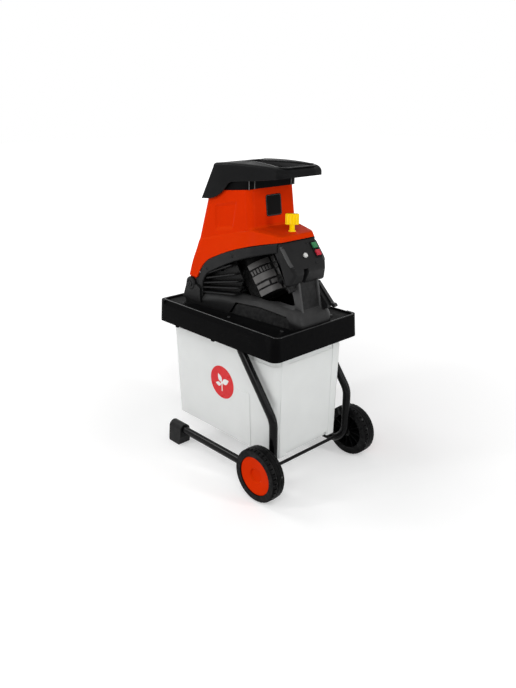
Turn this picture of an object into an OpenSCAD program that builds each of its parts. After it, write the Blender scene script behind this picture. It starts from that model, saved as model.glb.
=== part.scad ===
// Electric garden shredder: a tilting hopper over a blade disc, on a wheeled tube cart with a collection box.
// Millimetres, +Z up. +X is the wheel and switch end, the hopper tilts towards -X, the floor is z = 0.

/* [Cart] */
// Wheel diameter
wheel_d = 165; // [160:1:168]
// Wheel width
wheel_w = 48; // [44:1:50]
// Frame tube outside diameter
tube_od = 25; // [22:0.5:25]
// Frame tube wall
tube_wall = 1.5; // [1:0.1:2.5]
// Axle diameter
axle_d = 10; // [8:0.5:12]
// Height of the lower tubes
tube_low = 51.5; // [48:0.5:56]

/* [Tray and box] */
// Tray length at its lower edge
tray_len = 543; // [538:1:546]
// Height of the tray top over the floor
tray_top = 493.5; // [485:0.5:505]
// Depth of the tray skirt
tray_h = 68.5; // [62:0.5:74]
// Draft of the tray skirt on each side
tray_draft = 4.4; // [3:0.2:6]
// Collection box width at its top
box_w = 284; // [276:1:298]
// Collection box depth
box_h = 327; // [300:1:332]
// Collection box wall
box_wall = 2.5; // [2:0.1:4]
// Round sticker diameter
sticker_d = 108; // [80:1:120]

/* [Head] */
// Tilt of the blade disc and of the motor
disc_tilt = 37; // [36:0.5:38]
// Blade disc diameter
disc_d = 190; // [170:1:194]
// Hopper wall
hopper_wall = 3.5; // [3:0.1:4]
// Side length of the square label plate
plate_s = 62; // [40:1:70]
// Lock knob wing width
knob_w = 42; // [34:1:50]
// Motor barrel diameter
motor_d = 112; // [108:1:114]
// Push button size
button_s = 17; // [14:0.5:18]

/* [Hidden] */
$fn = 64;
eps = 0.01;
run_gap = 0.05;
slack = 0.3;

// cart stations: the tubes run beside the box and the wheels beside the tubes
tube_gap = 20;
wheel_gap = 18;
wheel_r = wheel_d / 2;
wheel_x = 297 - wheel_r;
tube_r = tube_od / 2;
tube_y = box_w / 2 + tube_gap;
wheel_in = tube_y + wheel_gap;
axle_r = axle_d / 2;
leg_x = wheel_x + 10.5;
leg_bend = 67;
knee_z = 240;
knee_bend = 60;
knee_a = atan2(3, 4);
arm_end_gap = 25.5;
foot_x = -260;
foot_len = 61;
foot_w = 46;
foot_grip = 45;
foot_round = 19.5;

// tray and box stations: the tray skirt covers the tubes
skirt_gap = 16;
tray_w = 2 * (tube_y + skirt_gap);
tray_x = -297 + tray_len / 2;
tray_bot = tray_top - tray_h;
arm_len = (tray_top - arm_end_gap - knee_z) / cos(knee_a);
tray_r = 24;
tray_skin = 4;
tray_plate = 11;
rim_w = 13;
deck_drop = 3;
head_z = tray_top - deck_drop;
box_x = -28;
box_top = tray_bot - 1;
box_len = 488;
box_r = 26;
box_draft = 9;
lip_w = 5;
lip_t = 3.5;
sticker_x = -28;
sticker_z = box_top - 150;

// chip chute
chute_x0 = -128;
chute_x1 = -84;
chute_y = 72;
chute_wall = 7;

// head stations, heights over the tray deck
hinge_x = -196;
hinge_h = 63.5;
hinge_pin_r = 5;
lug_r = 17;
lug_y0 = 109;
lug_y1 = 119;
ear_y0 = 97;
ear_y1 = lug_y0 - 1;
disc_x = -45;
disc_h = 181.5;
disc_r = disc_d / 2;
disc_t = 8;
pan_r = 104;
pan_wall = 6;
pan_floor = -22;
pan_plate = 7;
split_gap = 0.6;
arch_end = 120;
side_y = 112;

// hopper stations
tower_z1 = 376;
tower_top = [50, 374.5];
tower_slope = 0.108;
tower_r = 22;
tower_y = 92;
neck_y = tower_y - hopper_wall - 1;
collar_y = tower_y + 1;
recess_tilt = 1.9;
recess_y = tower_y + 11.2;
knob_x = 129;
stud_r = 4;
nut_r = 7.2;
nut_z = 219.5;
deck_z = 256;
rear_edge = 88;

// control panel: upper and lower edge in the XZ plane
panel_a = [154, 231];
panel_b = [203, 170];
panel_len = norm(panel_b - panel_a);
panel_tilt = atan2(panel_a[1] - panel_b[1], panel_b[0] - panel_a[0]);
panel_y = 75;
switch_y = 64;
inlet_r = 11.5;

// motor stations along its axis, measured from the top of the disc
motor_r = motor_d / 2;
motor_wall = 3;
motor_top = -30;
motor_end = -165;
shaft_r = 8.5;
tail_r = 6;

body_black = [0.07, 0.07, 0.075];
hood_black = [0.09, 0.09, 0.095];
motor_grey = [0.16, 0.16, 0.165];
orange = [0.86, 0.2, 0.03];
yellow = [0.95, 0.8, 0.05];
steel = [0.7, 0.71, 0.73];
copper = [0.72, 0.42, 0.25];

// 2D and placing helpers
function unit(v) = v / norm(v);
function wrap(v, i) = v[(i + len(v)) % len(v)];
function half_angle(p, i) =
    acos(unit(wrap(p, i - 1) - p[i]) * unit(wrap(p, i + 1) - p[i])) / 2;
function tangent(p, i, r, step) = p[i] + unit(wrap(p, i + step) - p[i]) * r / tan(half_angle(p, i));
function round_centre(p, i, r) = p[i]
    + unit(unit(wrap(p, i - 1) - p[i]) + unit(wrap(p, i + 1) - p[i])) * r / sin(half_angle(p, i));

// convex outline with a true round at each corner
module rounded(p, r) {
    polygon([for (i = [0 : len(p) - 1]) each [tangent(p, i, r[i], -1), tangent(p, i, r[i], 1)]]);
    for (i = [0 : len(p) - 1])
        translate(round_centre(p, i, r[i])) circle(r = r[i]);
}

// points of a convex outline with rounded corners, n steps per corner
function corner(p, i, r, n) = r == 0 ? [p[i]] : let (
        c = round_centre(p, i, r),
        u = tangent(p, i, r, -1) - c,
        v = tangent(p, i, r, 1) - c,
        a0 = atan2(u[1], u[0]),
        sweep = atan2(turn(u, v), u * v))
    [for (k = [0 : n]) c + r * [cos(a0 + sweep * k / n), sin(a0 + sweep * k / n)]];
function soft(p, r, n) = [for (i = [0 : len(p) - 1]) each corner(p, i, r[i], n)];

// points on the circle through three points
function turn(a, b) = a[0] * b[1] - a[1] * b[0];
function centre3(a, b, c) = let (u = b - a, v = c - a, d = 2 * turn(u, v), uu = u * u, vv = v * v)
    a + [v[1] * uu - u[1] * vv, u[0] * vv - v[0] * uu] / d;
function arc3(a, b, c, n) = let (
        m = centre3(a, b, c),
        r = norm(a - m),
        a0 = atan2(a[1] - m[1], a[0] - m[0]),
        sweep = atan2(turn(a - m, c - m), (a - m) * (c - m)))
    [for (i = [0 : n]) m + r * [cos(a0 + sweep * i / n), sin(a0 + sweep * i / n)]];

// outline in the XZ plane drawn out along Y
module side_prism(y0, y1) {
    translate([0, y1, 0])
        rotate([90, 0, 0])
            linear_extrude(y1 - y0) children();
}

// block with rounded upright corners; each side leans in by d over its height
module drafted_block(lx, ly, h, r, d) {
    cx = lx / 2 - r;
    cy = ly / 2 - r;
    rotate([90, 0, 90])
        translate([0, 0, -cx])
            linear_extrude(2 * cx) polygon([[-ly / 2, 0], [ly / 2, 0], [ly / 2 - d, h], [d - ly / 2, h]]);
    rotate([90, 0, 0])
        translate([0, 0, -cy])
            linear_extrude(2 * cy) polygon([[-lx / 2, 0], [lx / 2, 0], [lx / 2 - d, h], [d - lx / 2, h]]);
    for (sx = [-1, 1], sy = [-1, 1])
        translate([sx * cx, sy * cy, 0]) cylinder(h = h, r1 = r, r2 = r - d);
}

module both_sides() {
    children();
    mirror([0, 1, 0]) children();
}

module on_head() {
    translate([0, 0, head_z]) children();
}

module on_disc() {
    translate([disc_x, 0, head_z + disc_h])
        rotate([0, -disc_tilt, 0]) children();
}

module on_hinge() {
    translate([hinge_x, 0, head_z + hinge_h]) children();
}

// place s along the panel slope (0 top, 1 bottom) with Z out of the panel
module on_panel(s, y) {
    p = panel_a + (panel_b - panel_a) * s;
    translate([p[0], y, head_z + p[1]])
        rotate([0, panel_tilt, 0]) children();
}

module ring(r_in, r_out, z0, z1) {
    translate([0, 0, z0])
        difference() {
            cylinder(h = z1 - z0, r = r_out);
            translate([0, 0, -1]) cylinder(h = z1 - z0 + 2, r = r_in);
        }
}

// pan head screw along +Z with a cross recess; the shank points down
module screw(head_r, head_h, shank_r, shank_len) {
    difference() {
        union() {
            cylinder(h = head_h, r1 = head_r, r2 = head_r * 0.8);
            translate([0, 0, -shank_len]) cylinder(h = shank_len + eps, r = shank_r);
        }
        for (a = [0, 90])
            rotate([0, 0, a])
                translate([-head_r * 0.55, -head_r * 0.11, head_h * 0.35])
                    cube([head_r * 1.1, head_r * 0.22, head_h]);
    }
}

// one frame side: foot end, lower tube, bend, leg, knee and slanted arm into the tray
module tube_run(r, r_in) {
    x0 = foot_x + foot_len - foot_grip;
    knee_t = knee_bend * tan(knee_a / 2);
    translate([x0, 0, tube_low])
        rotate([0, 90, 0]) tube_piece(leg_x - leg_bend - x0, r, r_in);
    translate([leg_x - leg_bend, 0, tube_low + leg_bend])
        rotate([90, 0, 0])
            rotate([0, 0, -90]) tube_bend(leg_bend, 90, r, r_in);
    translate([leg_x, 0, tube_low + leg_bend])
        tube_piece(knee_z - knee_t - tube_low - leg_bend, r, r_in);
    translate([leg_x - knee_bend, 0, knee_z - knee_t])
        rotate([90, 0, 0]) tube_bend(knee_bend, knee_a, r, r_in);
    translate([leg_x, 0, knee_z])
        rotate([0, -knee_a, 0])
            translate([0, 0, knee_t]) tube_piece(arm_len - knee_t, r, r_in);
}

module tube_piece(h, r, r_in) {
    difference() {
        cylinder(h = h, r = r);
        if (r_in > 0) translate([0, 0, -1]) cylinder(h = h + 2, r = r_in);
    }
}

module tube_bend(bend, a, r, r_in) {
    rotate_extrude(angle = a)
        translate([bend, 0])
            difference() {
                circle(r = r);
                if (r_in > 0) circle(r = r_in);
            }
}

module frame_tube(side) {
    color(body_black)
        difference() {
            translate([0, side * tube_y, 0]) tube_run(tube_r, tube_r - tube_wall);
            axle_bore(axle_r + run_gap);
        }
}

module axle_bore(r) {
    translate([wheel_x, -300, wheel_r])
        rotate([-90, 0, 0]) cylinder(h = 600, r = r);
}

module frame_tube_near() {
    frame_tube(-1);
}

module frame_tube_far() {
    frame_tube(1);
}

// foot with a saddle top round the tube and a spread sole
module foot(side) {
    sole = 10;
    color(body_black)
        translate([0, side * tube_y, 0])
            difference() {
                translate([foot_x, 0, 0])
                    rotate([90, 0, 90])
                        linear_extrude(foot_len) {
                            translate([0, tube_low]) circle(r = foot_round);
                            polygon([[-foot_w / 2, 0], [foot_w / 2, 0], [foot_w / 2, sole],
                                [foot_round, tube_low], [-foot_round, tube_low], [-foot_w / 2, sole]]);
                        }
                translate([foot_x + foot_len - foot_grip, 0, tube_low])
                    rotate([0, 90, 0]) cylinder(h = foot_len, r = tube_r + run_gap);
                translate([foot_x + foot_len - 8, 0, -1])
                    side_prism(-foot_w, foot_w) polygon([[0, 0], [20, 0], [20, 28], [8, 28]]);
            }
}

module foot_near() {
    foot(-1);
}

module foot_far() {
    foot(1);
}

module axle() {
    half = wheel_in + 33;
    color(steel)
        translate([wheel_x, -half, wheel_r])
            rotate([-90, 0, 0]) cylinder(h = 2 * half, r = axle_r);
}

// local wheel frame: Z runs outward along the axle from the inner face
module on_wheel(side) {
    translate([wheel_x, side * wheel_in, wheel_r])
        rotate([-90 * side, 0, 0]) children();
}

module axle_washers() {
    color(steel)
        for (side = [-1, 1])
            on_wheel(side) ring(axle_r + run_gap, axle_r + 5, tube_y + tube_r + 0.2 - wheel_in, -0.2);
}

module axle_caps() {
    color(steel)
        for (side = [-1, 1])
            on_wheel(side)
                difference() {
                    translate([0, 0, 30.3]) cylinder(h = 4.5, r1 = axle_r + 5, r2 = axle_r + 2);
                    translate([0, 0, 30]) cylinder(h = 3, r = axle_r);
                }
}

// moulded wheel: lugged tread, web, hub and ribs on the inner side
module wheel(side) {
    cap_seat = wheel_w - 14;
    barrel = 56;
    web = 22;
    shoulder = 5;
    lugs = 34;
    color(body_black)
        on_wheel(side)
            difference() {
                union() {
                    rotate_extrude()
                        polygon([[barrel, 2], [wheel_r - shoulder, 2], [wheel_r - 1, 2 + shoulder],
                            [wheel_r, wheel_w / 2], [wheel_r - 1, wheel_w - shoulder],
                            [wheel_r - shoulder, wheel_w], [barrel + 4, wheel_w], [barrel + 4, cap_seat],
                            [barrel, cap_seat]]);
                    translate([0, 0, web]) cylinder(h = 5, r = barrel + 1);
                    cylinder(h = 30, r = 16);
                    for (a = [0 : 30 : 330])
                        rotate([0, 0, a])
                            translate([14, -1.5, 5]) cube([barrel - 13, 3, web - 4]);
                }
                translate([0, 0, -1]) cylinder(h = wheel_w + 2, r = axle_r + run_gap);
                for (i = [0 : lugs - 1])
                    rotate([0, 0, i * 360 / lugs]) {
                        translate([wheel_r - 4, -3, -1]) cube([10, 6, 13]);
                        rotate([0, 0, 180 / lugs])
                            translate([wheel_r - 4, -3, wheel_w - 11]) cube([10, 6, 13]);
                    }
                for (z = [wheel_w * 0.36, wheel_w * 0.62])
                    ring(wheel_r - 2.5, wheel_r + 5, z, z + 2.5);
            }
}

module wheel_near() {
    wheel(-1);
}

module wheel_far() {
    wheel(1);
}

// dished hub cap with a recessed centre
module hub_cap(side) {
    rim = 60 - 0.15;
    seat = wheel_w - 14;
    color(orange)
        on_wheel(side)
            rotate_extrude()
                polygon([[0, seat + 2.5], [20, seat + 2.5], [23, seat + 7.5], [52, seat + 11],
                    [rim - 1.5, seat + 11], [rim, seat + 9.5], [rim, seat + 0.05], [rim - 3, seat + 0.05],
                    [rim - 3, seat + 8], [25, seat + 4.5], [22, seat + 1], [0, seat + 1]]);
}

module hub_cap_near() {
    hub_cap(-1);
}

module hub_cap_far() {
    hub_cap(1);
}

// stations of the screws that hold the head on the tray
screw_at = [[196, 104], [-3, 127], [-205, 140]];

// tray: skirted hood over the box with a stepped rim, chip opening, tube sockets and box rails
module tray() {
    top_l = tray_len - 2 * tray_draft;
    top_w = tray_w - 2 * tray_draft;
    rail_y = box_w / 2 + lip_w + 0.6;
    rail_t = 3;
    rail_z = box_top - lip_t - slack - rail_t;
    color(body_black)
        difference() {
            union() {
                difference() {
                    translate([tray_x, 0, tray_bot])
                        drafted_block(tray_len, tray_w, tray_h, tray_r, tray_draft);
                    translate([tray_x, 0, tray_bot - eps])
                        drafted_block(tray_len - 2 * tray_skin, tray_w - 2 * tray_skin, tray_h - tray_plate,
                            tray_r - tray_skin, tray_draft);
                    // recess for the head, closer to the edge at the wheel end
                    translate([tray_x + 4, 0, tray_top - deck_drop])
                        drafted_block(top_l - 2 * rim_w + 8, top_w - 2 * rim_w, deck_drop + 1, 14, 0);
                }
                both_sides() {
                    arm_socket();
                    // box rails with their supporting lips
                    for (x = [-276, -120, 150])
                        translate([x, rail_y, rail_z]) {
                            cube([60, 2.5, tray_top - tray_plate + 1 - rail_z]);
                            translate([0, -5.5, 0]) cube([60, 6, rail_t]);
                        }
                    for (x = [-206, -30])
                        translate([x, tray_w / 2 - 6, tray_bot - 5]) cube([12, 5, 10]);
                    for (p = screw_at)
                        translate([p[0], p[1], tray_top - tray_plate - 5]) cylinder(h = 8, r = 8);
                }
            }
            // long bevel on both sides that stops short of the corners
            for (side = [-1, 1])
                translate([-266, side * top_w / 2, tray_top])
                    rotate([0, 90, 0])
                        linear_extrude(468)
                            polygon([[-1, -side * 8], [-1, side * 8], [14, side * 8], [13, side * 0.6]]);
            // tube bores
            for (side = [-1, 1])
                translate([0, side * tube_y, 0])
                    tube_run(tube_r + run_gap, 0);
            // chip opening
            translate([chute_x0, -chute_y, tray_bot]) cube([chute_x1 - chute_x0, 2 * chute_y, tray_h + 5]);
            for (p = screw_at, side = [-1, 1])
                translate([p[0], side * p[1], tray_bot]) cylinder(h = tray_h + 5, r = 2.3);
        }
}

// block under the tray plate that takes the slanted tube
module arm_socket() {
    x1 = leg_x - (tray_bot - knee_z) * tan(knee_a) + tube_r / cos(knee_a) + 6;
    translate([x1 - 86, tube_y - tube_r - 1, tray_bot + 6]) cube([86, 2 * tube_r + 1, tray_h - 10]);
}

module tray_screws() {
    color(steel)
        for (p = screw_at, side = [-1, 1])
            translate([p[0], side * p[1], head_z]) screw(5.5, 3.2, 2.2, 9);
}

// open box hung by its lip: drafted walls, side panels, corner posts and an arched foot
module box_solid(grow) {
    w = box_w - 2 * box_draft + 2 * grow;
    l = box_len - 2 * box_draft + 2 * grow;
    translate([box_x, 0, box_top - box_h]) drafted_block(l, w, box_h, box_r - box_draft + grow, -box_draft);
}

// step under the end wall between the corner posts
module box_heel(grow) {
    translate([box_x + box_len / 2 - box_draft - 6 - grow, -90 - grow, box_top - box_h - 1])
        cube([60, 180 + 2 * grow, 15 + grow]);
}

module collection_box() {
    floor_z = box_top - box_h;
    panel_x = sticker_x + sticker_d / 2 + 2;
    color([0.86, 0.88, 0.87])
        difference() {
            union() {
                box_solid(0);
                translate([box_x, 0, box_top - lip_t])
                    drafted_block(box_len + 2 * lip_w, box_w + 2 * lip_w, lip_t, box_r + lip_w, 0);
                // raised panel towards the wheel end on both sides and a rib on the end wall
                intersection() {
                    box_solid(1.6);
                    union() {
                        translate([panel_x, -box_w, floor_z]) cube([70, 2 * box_w, box_h * 0.55]);
                        translate([110, -box_w, floor_z]) cube([300, 2 * box_w, box_h - 30]);
                    }
                }
                intersection() {
                    box_solid(3.2);
                    for (side = [-1, 1])
                        translate([100, side * 108 - 14, floor_z]) cube([300, 28, box_h - 14]);
                }
            }
            difference() {
                translate([0, 0, box_wall]) box_solid(-box_wall);
                translate([-400, -200, box_top + eps]) cube([800, 400, 40]);
                box_heel(box_wall);
            }
            box_heel(0);
            translate([box_x, 0, box_top - 1])
                drafted_block(box_len - 2 * box_wall, box_w - 2 * box_wall, 2, box_r - box_wall, 0);
        }
}

module sticker() {
    thick = 0.4;
    lean = atan(box_draft / box_h);
    y = box_w / 2 - box_draft * (box_top - sticker_z) / box_h;
    color([0.8, 0.13, 0.14])
        translate([sticker_x, -y - 0.02, sticker_z])
            rotate([90 + lean, 0, 0]) cylinder(h = thick, r = sticker_d / 2);
}

// upper edge of the lower housing in the XZ plane, from the hinge end to the switch end
split_rear = arc3([-168, 74], [-148, 122], [-97, 161.5], 10);
split_front = arc3([-97, 161.5], [13, 204.5], [150, 238], 14);
function split_pts(x_end) =
    concat(split_rear, [for (i = [1 : len(split_front) - 1]) if (split_front[i][0] < x_end) split_front[i]]);

// inner edge of the side arch
arch_low = concat(arc3([147, 209], [59, 186], [-6, 163], 8), arc3([-6, 163], [-60, 139], [-108, 115.5], 6),
    arc3([-116, 111], [-136, 90], [-146, 46], 6));

plinth_turn = atan2(120 - 78, 233 + 243);

// height of the plinth along X, and its plan inset by i with extra points along the sides
function plinth_top(x) = lookup(x, [[-243, 30], [-222, 36], [-200, 37], [-150, 42], [-80, 56], [-60, 58],
    [0, 61.3], [60, 62], [130, 58.5], [200, 52], [216, 48], [233, 41]]);
plinth_side = [-190, -150, -115, -80, -40, 0, 40, 80, 120, 150, 180];
function plinth_y(x, i) = 120 - i - (x + 243) * tan(plinth_turn);
function plinth_plan(i) = let (
        near = [for (x = plinth_side) [x, -plinth_y(x, i)]],
        far = [for (k = [len(near) - 1 : -1 : 0]) [near[k][0], -near[k][1]]],
        flat = [for (x = plinth_side) 0],
        a = -243 + i,
        b = 233 - i)
    soft(concat([[a, -plinth_y(a, i)]], near, [[b, -plinth_y(b, i)], [b, plinth_y(b, i)]], far,
            [[a, plinth_y(a, i)]]),
        concat([30 - i], flat, [38 - i, 38 - i], flat, [30 - i]), 6);
function plinth_ring(i, drop) = [for (q = plinth_plan(i)) [q[0], q[1], plinth_top(q[0]) - drop]];

module arch_plan() {
    rounded([[-182, -side_y], [40, -side_y], [arch_end, -86], [arch_end, 86], [40, side_y], [-182, side_y]],
        [8, 40, 3, 3, 40, 8]);
}

// plinth under the head: swept top, round shoulder and an inset panel on each side
module plinth() {
    shoulder = 15;
    panel_in = 3;
    difference() {
        loft(concat([[for (q = plinth_plan(0)) [q[0], q[1], 0]]],
            [for (t = [0, 22.5, 45, 67.5, 90])
                plinth_ring(shoulder * (1 - cos(t)), shoulder * (1 - sin(t)))]), true);
        both_sides()
            translate([-243, 120 - panel_in, 0])
                rotate([0, 0, -plinth_turn])
                    translate([243, 0, 0])
                        side_prism(0, 12) polygon([[-30, -1], [-4, 39], [90, 43.5], [194, 35], [203, -1]]);
    }
}

// five vent blades that fan out between the arch and the plinth
fin_at = [[-113, 112, -14, 152], [-120, 94, 4, 128], [-132, 76, 16, 108], [-140, 60, 18, 88],
    [-146, 44, 4, 66]];

module vent_blades() {
    blade_t = 6;
    for (f = fin_at) {
        a = atan2(f[3] - f[1], f[2] - f[0]);
        translate([f[0], 80, f[1]])
            rotate([0, -a, 0])
                translate([-8, 0, -blade_t / 2])
                    cube([norm([f[2] - f[0], f[3] - f[1]]) + 8, 29, blade_t]);
    }
}

module hinge_lug() {
    side_prism(lug_y0, lug_y1) {
        translate([hinge_x, hinge_h]) circle(r = lug_r);
        polygon([[-238, 12], [-168, 12], [hinge_x + lug_r, hinge_h - 2],
            [hinge_x + lug_r * 0.7, hinge_h + lug_r * 0.7],
            [hinge_x - lug_r * 0.9, hinge_h + lug_r * 0.42], [-224, 40]]);
    }
}

// black lower housing: plinth, vents, side arches, blade pan, chip chute, pillar and hinge lugs
module lower_housing() {
    color(body_black)
        difference() {
            union() {
                on_head() {
                    plinth();
                    intersection() {
                        linear_extrude(300) arch_plan();
                        side_prism(-150, 150)
                            polygon(concat([[-150, 20], [-176, 20], [-176, 66]], split_pts(arch_end),
                                [[arch_end, 233], [arch_end, 203.5]],
                                [for (p = arch_low) if (p[0] < arch_end) p]));
                    }
                    both_sides() {
                        vent_blades();
                        hinge_lug();
                        // wall behind the vent blades
                        side_prism(80, 84)
                            polygon([[-148, 40], [-142, 100], [-112, 128], [-20, 168], [-14, 150], [14, 108],
                                [-10, 50]]);
                    }
                    // chip chute
                    translate([chute_x0 - chute_wall, -chute_y - 8, 0])
                        cube([chute_x1 - chute_x0 + 2 * chute_wall, 2 * chute_y + 16, 160]);
                    pillar();
                }
                on_disc() cylinder(h = 20, r = pan_r + pan_wall);
                on_disc()
                    translate([0, 0, pan_floor - pan_plate]) cylinder(h = 10 - pan_floor, r = pan_r + pan_wall);
            }
            on_disc() {
                // blade chamber and motor space
                translate([0, 0, pan_floor]) cylinder(h = 120, r = pan_r);
                translate([0, 0, motor_end - 5])
                    cylinder(h = pan_floor - pan_plate - motor_end + 5, r = motor_r + 10);
                translate([0, 0, pan_floor - 20]) cylinder(h = 40, r = 20.05);
            }
            on_head() {
                // everything over the split line
                side_prism(-160, 160)
                    polygon(concat([[-182, 64]], split_pts(arch_end), [[arch_end, 233], [260, 250], [260, 420],
                        [-260, 420], [-260, 84], [-182, 84]]));
                translate([chute_x0, -chute_y, -1])
                    cube([chute_x1 - chute_x0, 2 * chute_y, 170]);
                // well in the plinth round the motor
                translate([-40, -68, 34]) cube([210, 136, 40]);
                translate([-40, -68, 12]) cube([150, 136, 40]);
            }
            on_hinge()
                translate([0, -200, 0]) rotate([-90, 0, 0]) cylinder(h = 400, r = hinge_pin_r + run_gap);
            for (p = screw_at, side = [-1, 1])
                translate([p[0], side * p[1], head_z]) cylinder(h = 60, r = 6.2);
            housing_screw_bores();
        }
}

// slanted post between the plinth nose and the control box, with raised edges
module pillar() {
    outline = [[158, 112], [172, 108], [193, 121], [226, 44], [196, 40]];
    side_prism(-42, 42) polygon(outline);
    both_sides()
        side_prism(36, 42) polygon([[170, 108], [190, 112], [199, 124], [232, 44], [200, 40]]);
}

// screws through the arch sides: x, height
arch_screw = [[0, 182], [-118, 124]];

module on_arch_screw() {
    for (p = arch_screw, side = [-1, 1])
        translate([p[0], side * (side_y - 2.5), head_z + p[1]])
            rotate([-90 * side, 0, 0]) children();
}

module housing_screw_bores() {
    on_arch_screw() {
        cylinder(h = 10, r = 4.6);
        translate([0, 0, -12]) cylinder(h = 20, r = 2.05);
    }
}

module housing_screws() {
    color(steel)
        on_arch_screw() screw(4.2, 1.8, 2, 11);
}

module hinge_screws() {
    color(steel)
        for (side = [-1, 1])
            on_hinge()
                translate([0, side * (lug_y1 + 0.02), 0])
                    rotate([-90 * side, 0, 0]) screw(9, 4, hinge_pin_r, lug_y1 - ear_y0 - 1);
}

control_out = [[arch_end + 0.2, 204], [arch_end + 0.2, 232], [150, 237], panel_a, panel_b, [206, 158],
    [193, 122], [172, 109], [157, 186]];
control_in = [[arch_end + 4, 208], [arch_end + 4, 228], [149, 233.5], [152, 228.5], [199, 170], [201.5, 159],
    [190.5, 126], [175, 116], [161, 189]];

// switch housing under the deck with the sloped panel and two lobes below it
module control_box() {
    color(body_black)
        difference() {
            intersection() {
                on_head() side_prism(-panel_y, panel_y) polygon(control_out);
                on_head() linear_extrude(300)
                    rounded([[90, -90], [195, -panel_y], [212, -60], [212, 60], [195, panel_y], [90, 90]],
                        [5, 10, 10, 10, 10, 5]);
            }
            difference() {
                on_head() side_prism(3 - panel_y, panel_y - 3) polygon(control_in);
                on_head() translate([knob_x, 0, nut_z - 8]) cylinder(h = 40, r = nut_r + 4);
            }
            // notch between the two lobes
            on_head()
                translate([0, -19, 0])
                    linear_extrude(166) polygon([[190, 0], [220, -9], [220, 9]]);
            // switch window, reset hole and panel screw bores
            on_panel(0.4, switch_y - 8) translate([-24, -14, -8]) cube([48, 20, 20]);
            on_panel(0.555, 0) translate([0, 0, -8]) cylinder(h = 20, r = 8);
            on_panel_screw() translate([0, 0, -8]) cylinder(h = 20, r = 1.6);
            // lock screw well and its nut seat
            on_head() translate([knob_x, 0, nut_z - 20]) cylinder(h = 60, r = stud_r + 0.5);
            on_head() translate([knob_x, 0, nut_z]) cylinder(h = 30, r = nut_r + run_gap);
            // inlet bore on the lower side
            on_inlet() translate([0, 0, -8]) cylinder(h = 20, r = inlet_r + run_gap);
            on_hook() translate([0, 0, -8]) cylinder(h = 20, r = 3.05);
        }
}

module on_inlet() {
    translate([183, -58, head_z + 115.8])
        rotate([0, 148, 0]) children();
}

module on_hook() {
    translate([183, 56, head_z + 115.8])
        rotate([0, 148, 0]) children();
}

module on_panel_screw() {
    for (s = [0.1, 0.9], y = [-66, 30])
        on_panel(s, y) children();
}

module panel_screws() {
    color(steel)
        on_panel_screw() translate([0, 0, 0.02]) screw(3.6, 1.6, 1.5, 7);
}

// two-button switch body behind its window
module switch_block() {
    color(hood_black)
        on_panel(0.4, switch_y - 8)
            difference() {
                union() {
                    translate([-23.8, -13.8, -18]) cube([47.6, 19.6, 19]);
                    translate([-26, -16, 0.1]) cube([52, 24, 2]);
                }
                for (x = [-12, 12])
                    translate([x, -4, 0]) translate([-button_s / 2 - slack, -button_s / 2 - slack, -10])
                        cube([button_s + 2 * slack, button_s + 2 * slack, 20]);
            }
}

module push_button(x) {
    travel = 4;
    on_panel(0.4, switch_y - 8)
        translate([x, -4, -10 + travel + slack]) {
            difference() {
                translate([-button_s / 2, -button_s / 2, 0]) cube([button_s, button_s, 11]);
                translate([0, 0, 10.4]) cylinder(h = 5, r = button_s * 0.36);
            }
            translate([0, 0, 10]) cylinder(h = 1.2, r = button_s * 0.32);
        }
}

module start_button() {
    color([0.15, 0.5, 0.25]) push_button(-12);
}

module stop_button() {
    color([0.78, 0.12, 0.15]) push_button(12);
}

module reset_button() {
    color([0.88, 0.88, 0.86])
        on_panel(0.555, 0) {
            translate([0, 0, -5]) cylinder(h = 9.5, r = 7);
            translate([0, 0, 4.4]) cylinder(h = 1, r1 = 7, r2 = 6);
        }
}

module overload_breaker() {
    color(hood_black)
        on_panel(0.555, 0)
            difference() {
                translate([-9.5, -13, -16]) cube([19, 26, 12.6]);
                translate([0, 0, -9]) cylinder(h = 20, r = 7.35);
            }
}

// round appliance inlet with a collar and three contact pins
module power_inlet() {
    color(hood_black)
        on_inlet() {
            difference() {
                union() {
                    translate([0, 0, -6]) cylinder(h = 20, r = inlet_r);
                    translate([0, 0, 0.05]) cylinder(h = 3, r = inlet_r + 2.5);
                }
                translate([0, 0, -1]) cylinder(h = 30, r = inlet_r - 2);
            }
            for (a = [90, 210, 330])
                rotate([0, 0, a])
                    translate([5, 0, -2]) cylinder(h = 13, r = 1.6);
        }
}

// strain relief hook for the lead of an extension
module cord_hook() {
    color(body_black)
        on_head() {
            side_prism(50, 62)
                polygon([[175.5, 111.1], [186, 117.6], [192, 112], [243, 62], [252, 62], [258, 55], [252, 50],
                    [238, 52], [181, 105]]);
        }
}

module interlock_switch() {
    color(hood_black)
        on_head()
            translate([arch_end + 4.05, 24, 209]) cube([20, 10, 16]);
}

module lock_nut() {
    color(steel)
        on_head() translate([knob_x, 0, nut_z]) ring(stud_r + run_gap, nut_r, 0, 8);
}

// heights of the hopper levels over the deck of the tray: sloping foot, crease and deck edge
function foot_level(x) = 193 + 0.4 * x - 0.000933 * x * x;
function crease_level(x) = x < 64 ? 246.7 + 0.2605 * x : 271 - 0.119 * x;
function flare_level(x, f) = foot_level(x) * (1 - f) + crease_level(x) * f;

// six-cornered outline: rear, shoulder and lock end, each with its half width
function six(x0, xm, x1, y0, ym, y1) = [[x0, -y0], [xm, -ym], [x1, -y1], [x1, y1], [xm, ym], [x0, y0]];
function six_r(a, b, c) = [a, b, c, c, b, a];

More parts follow.
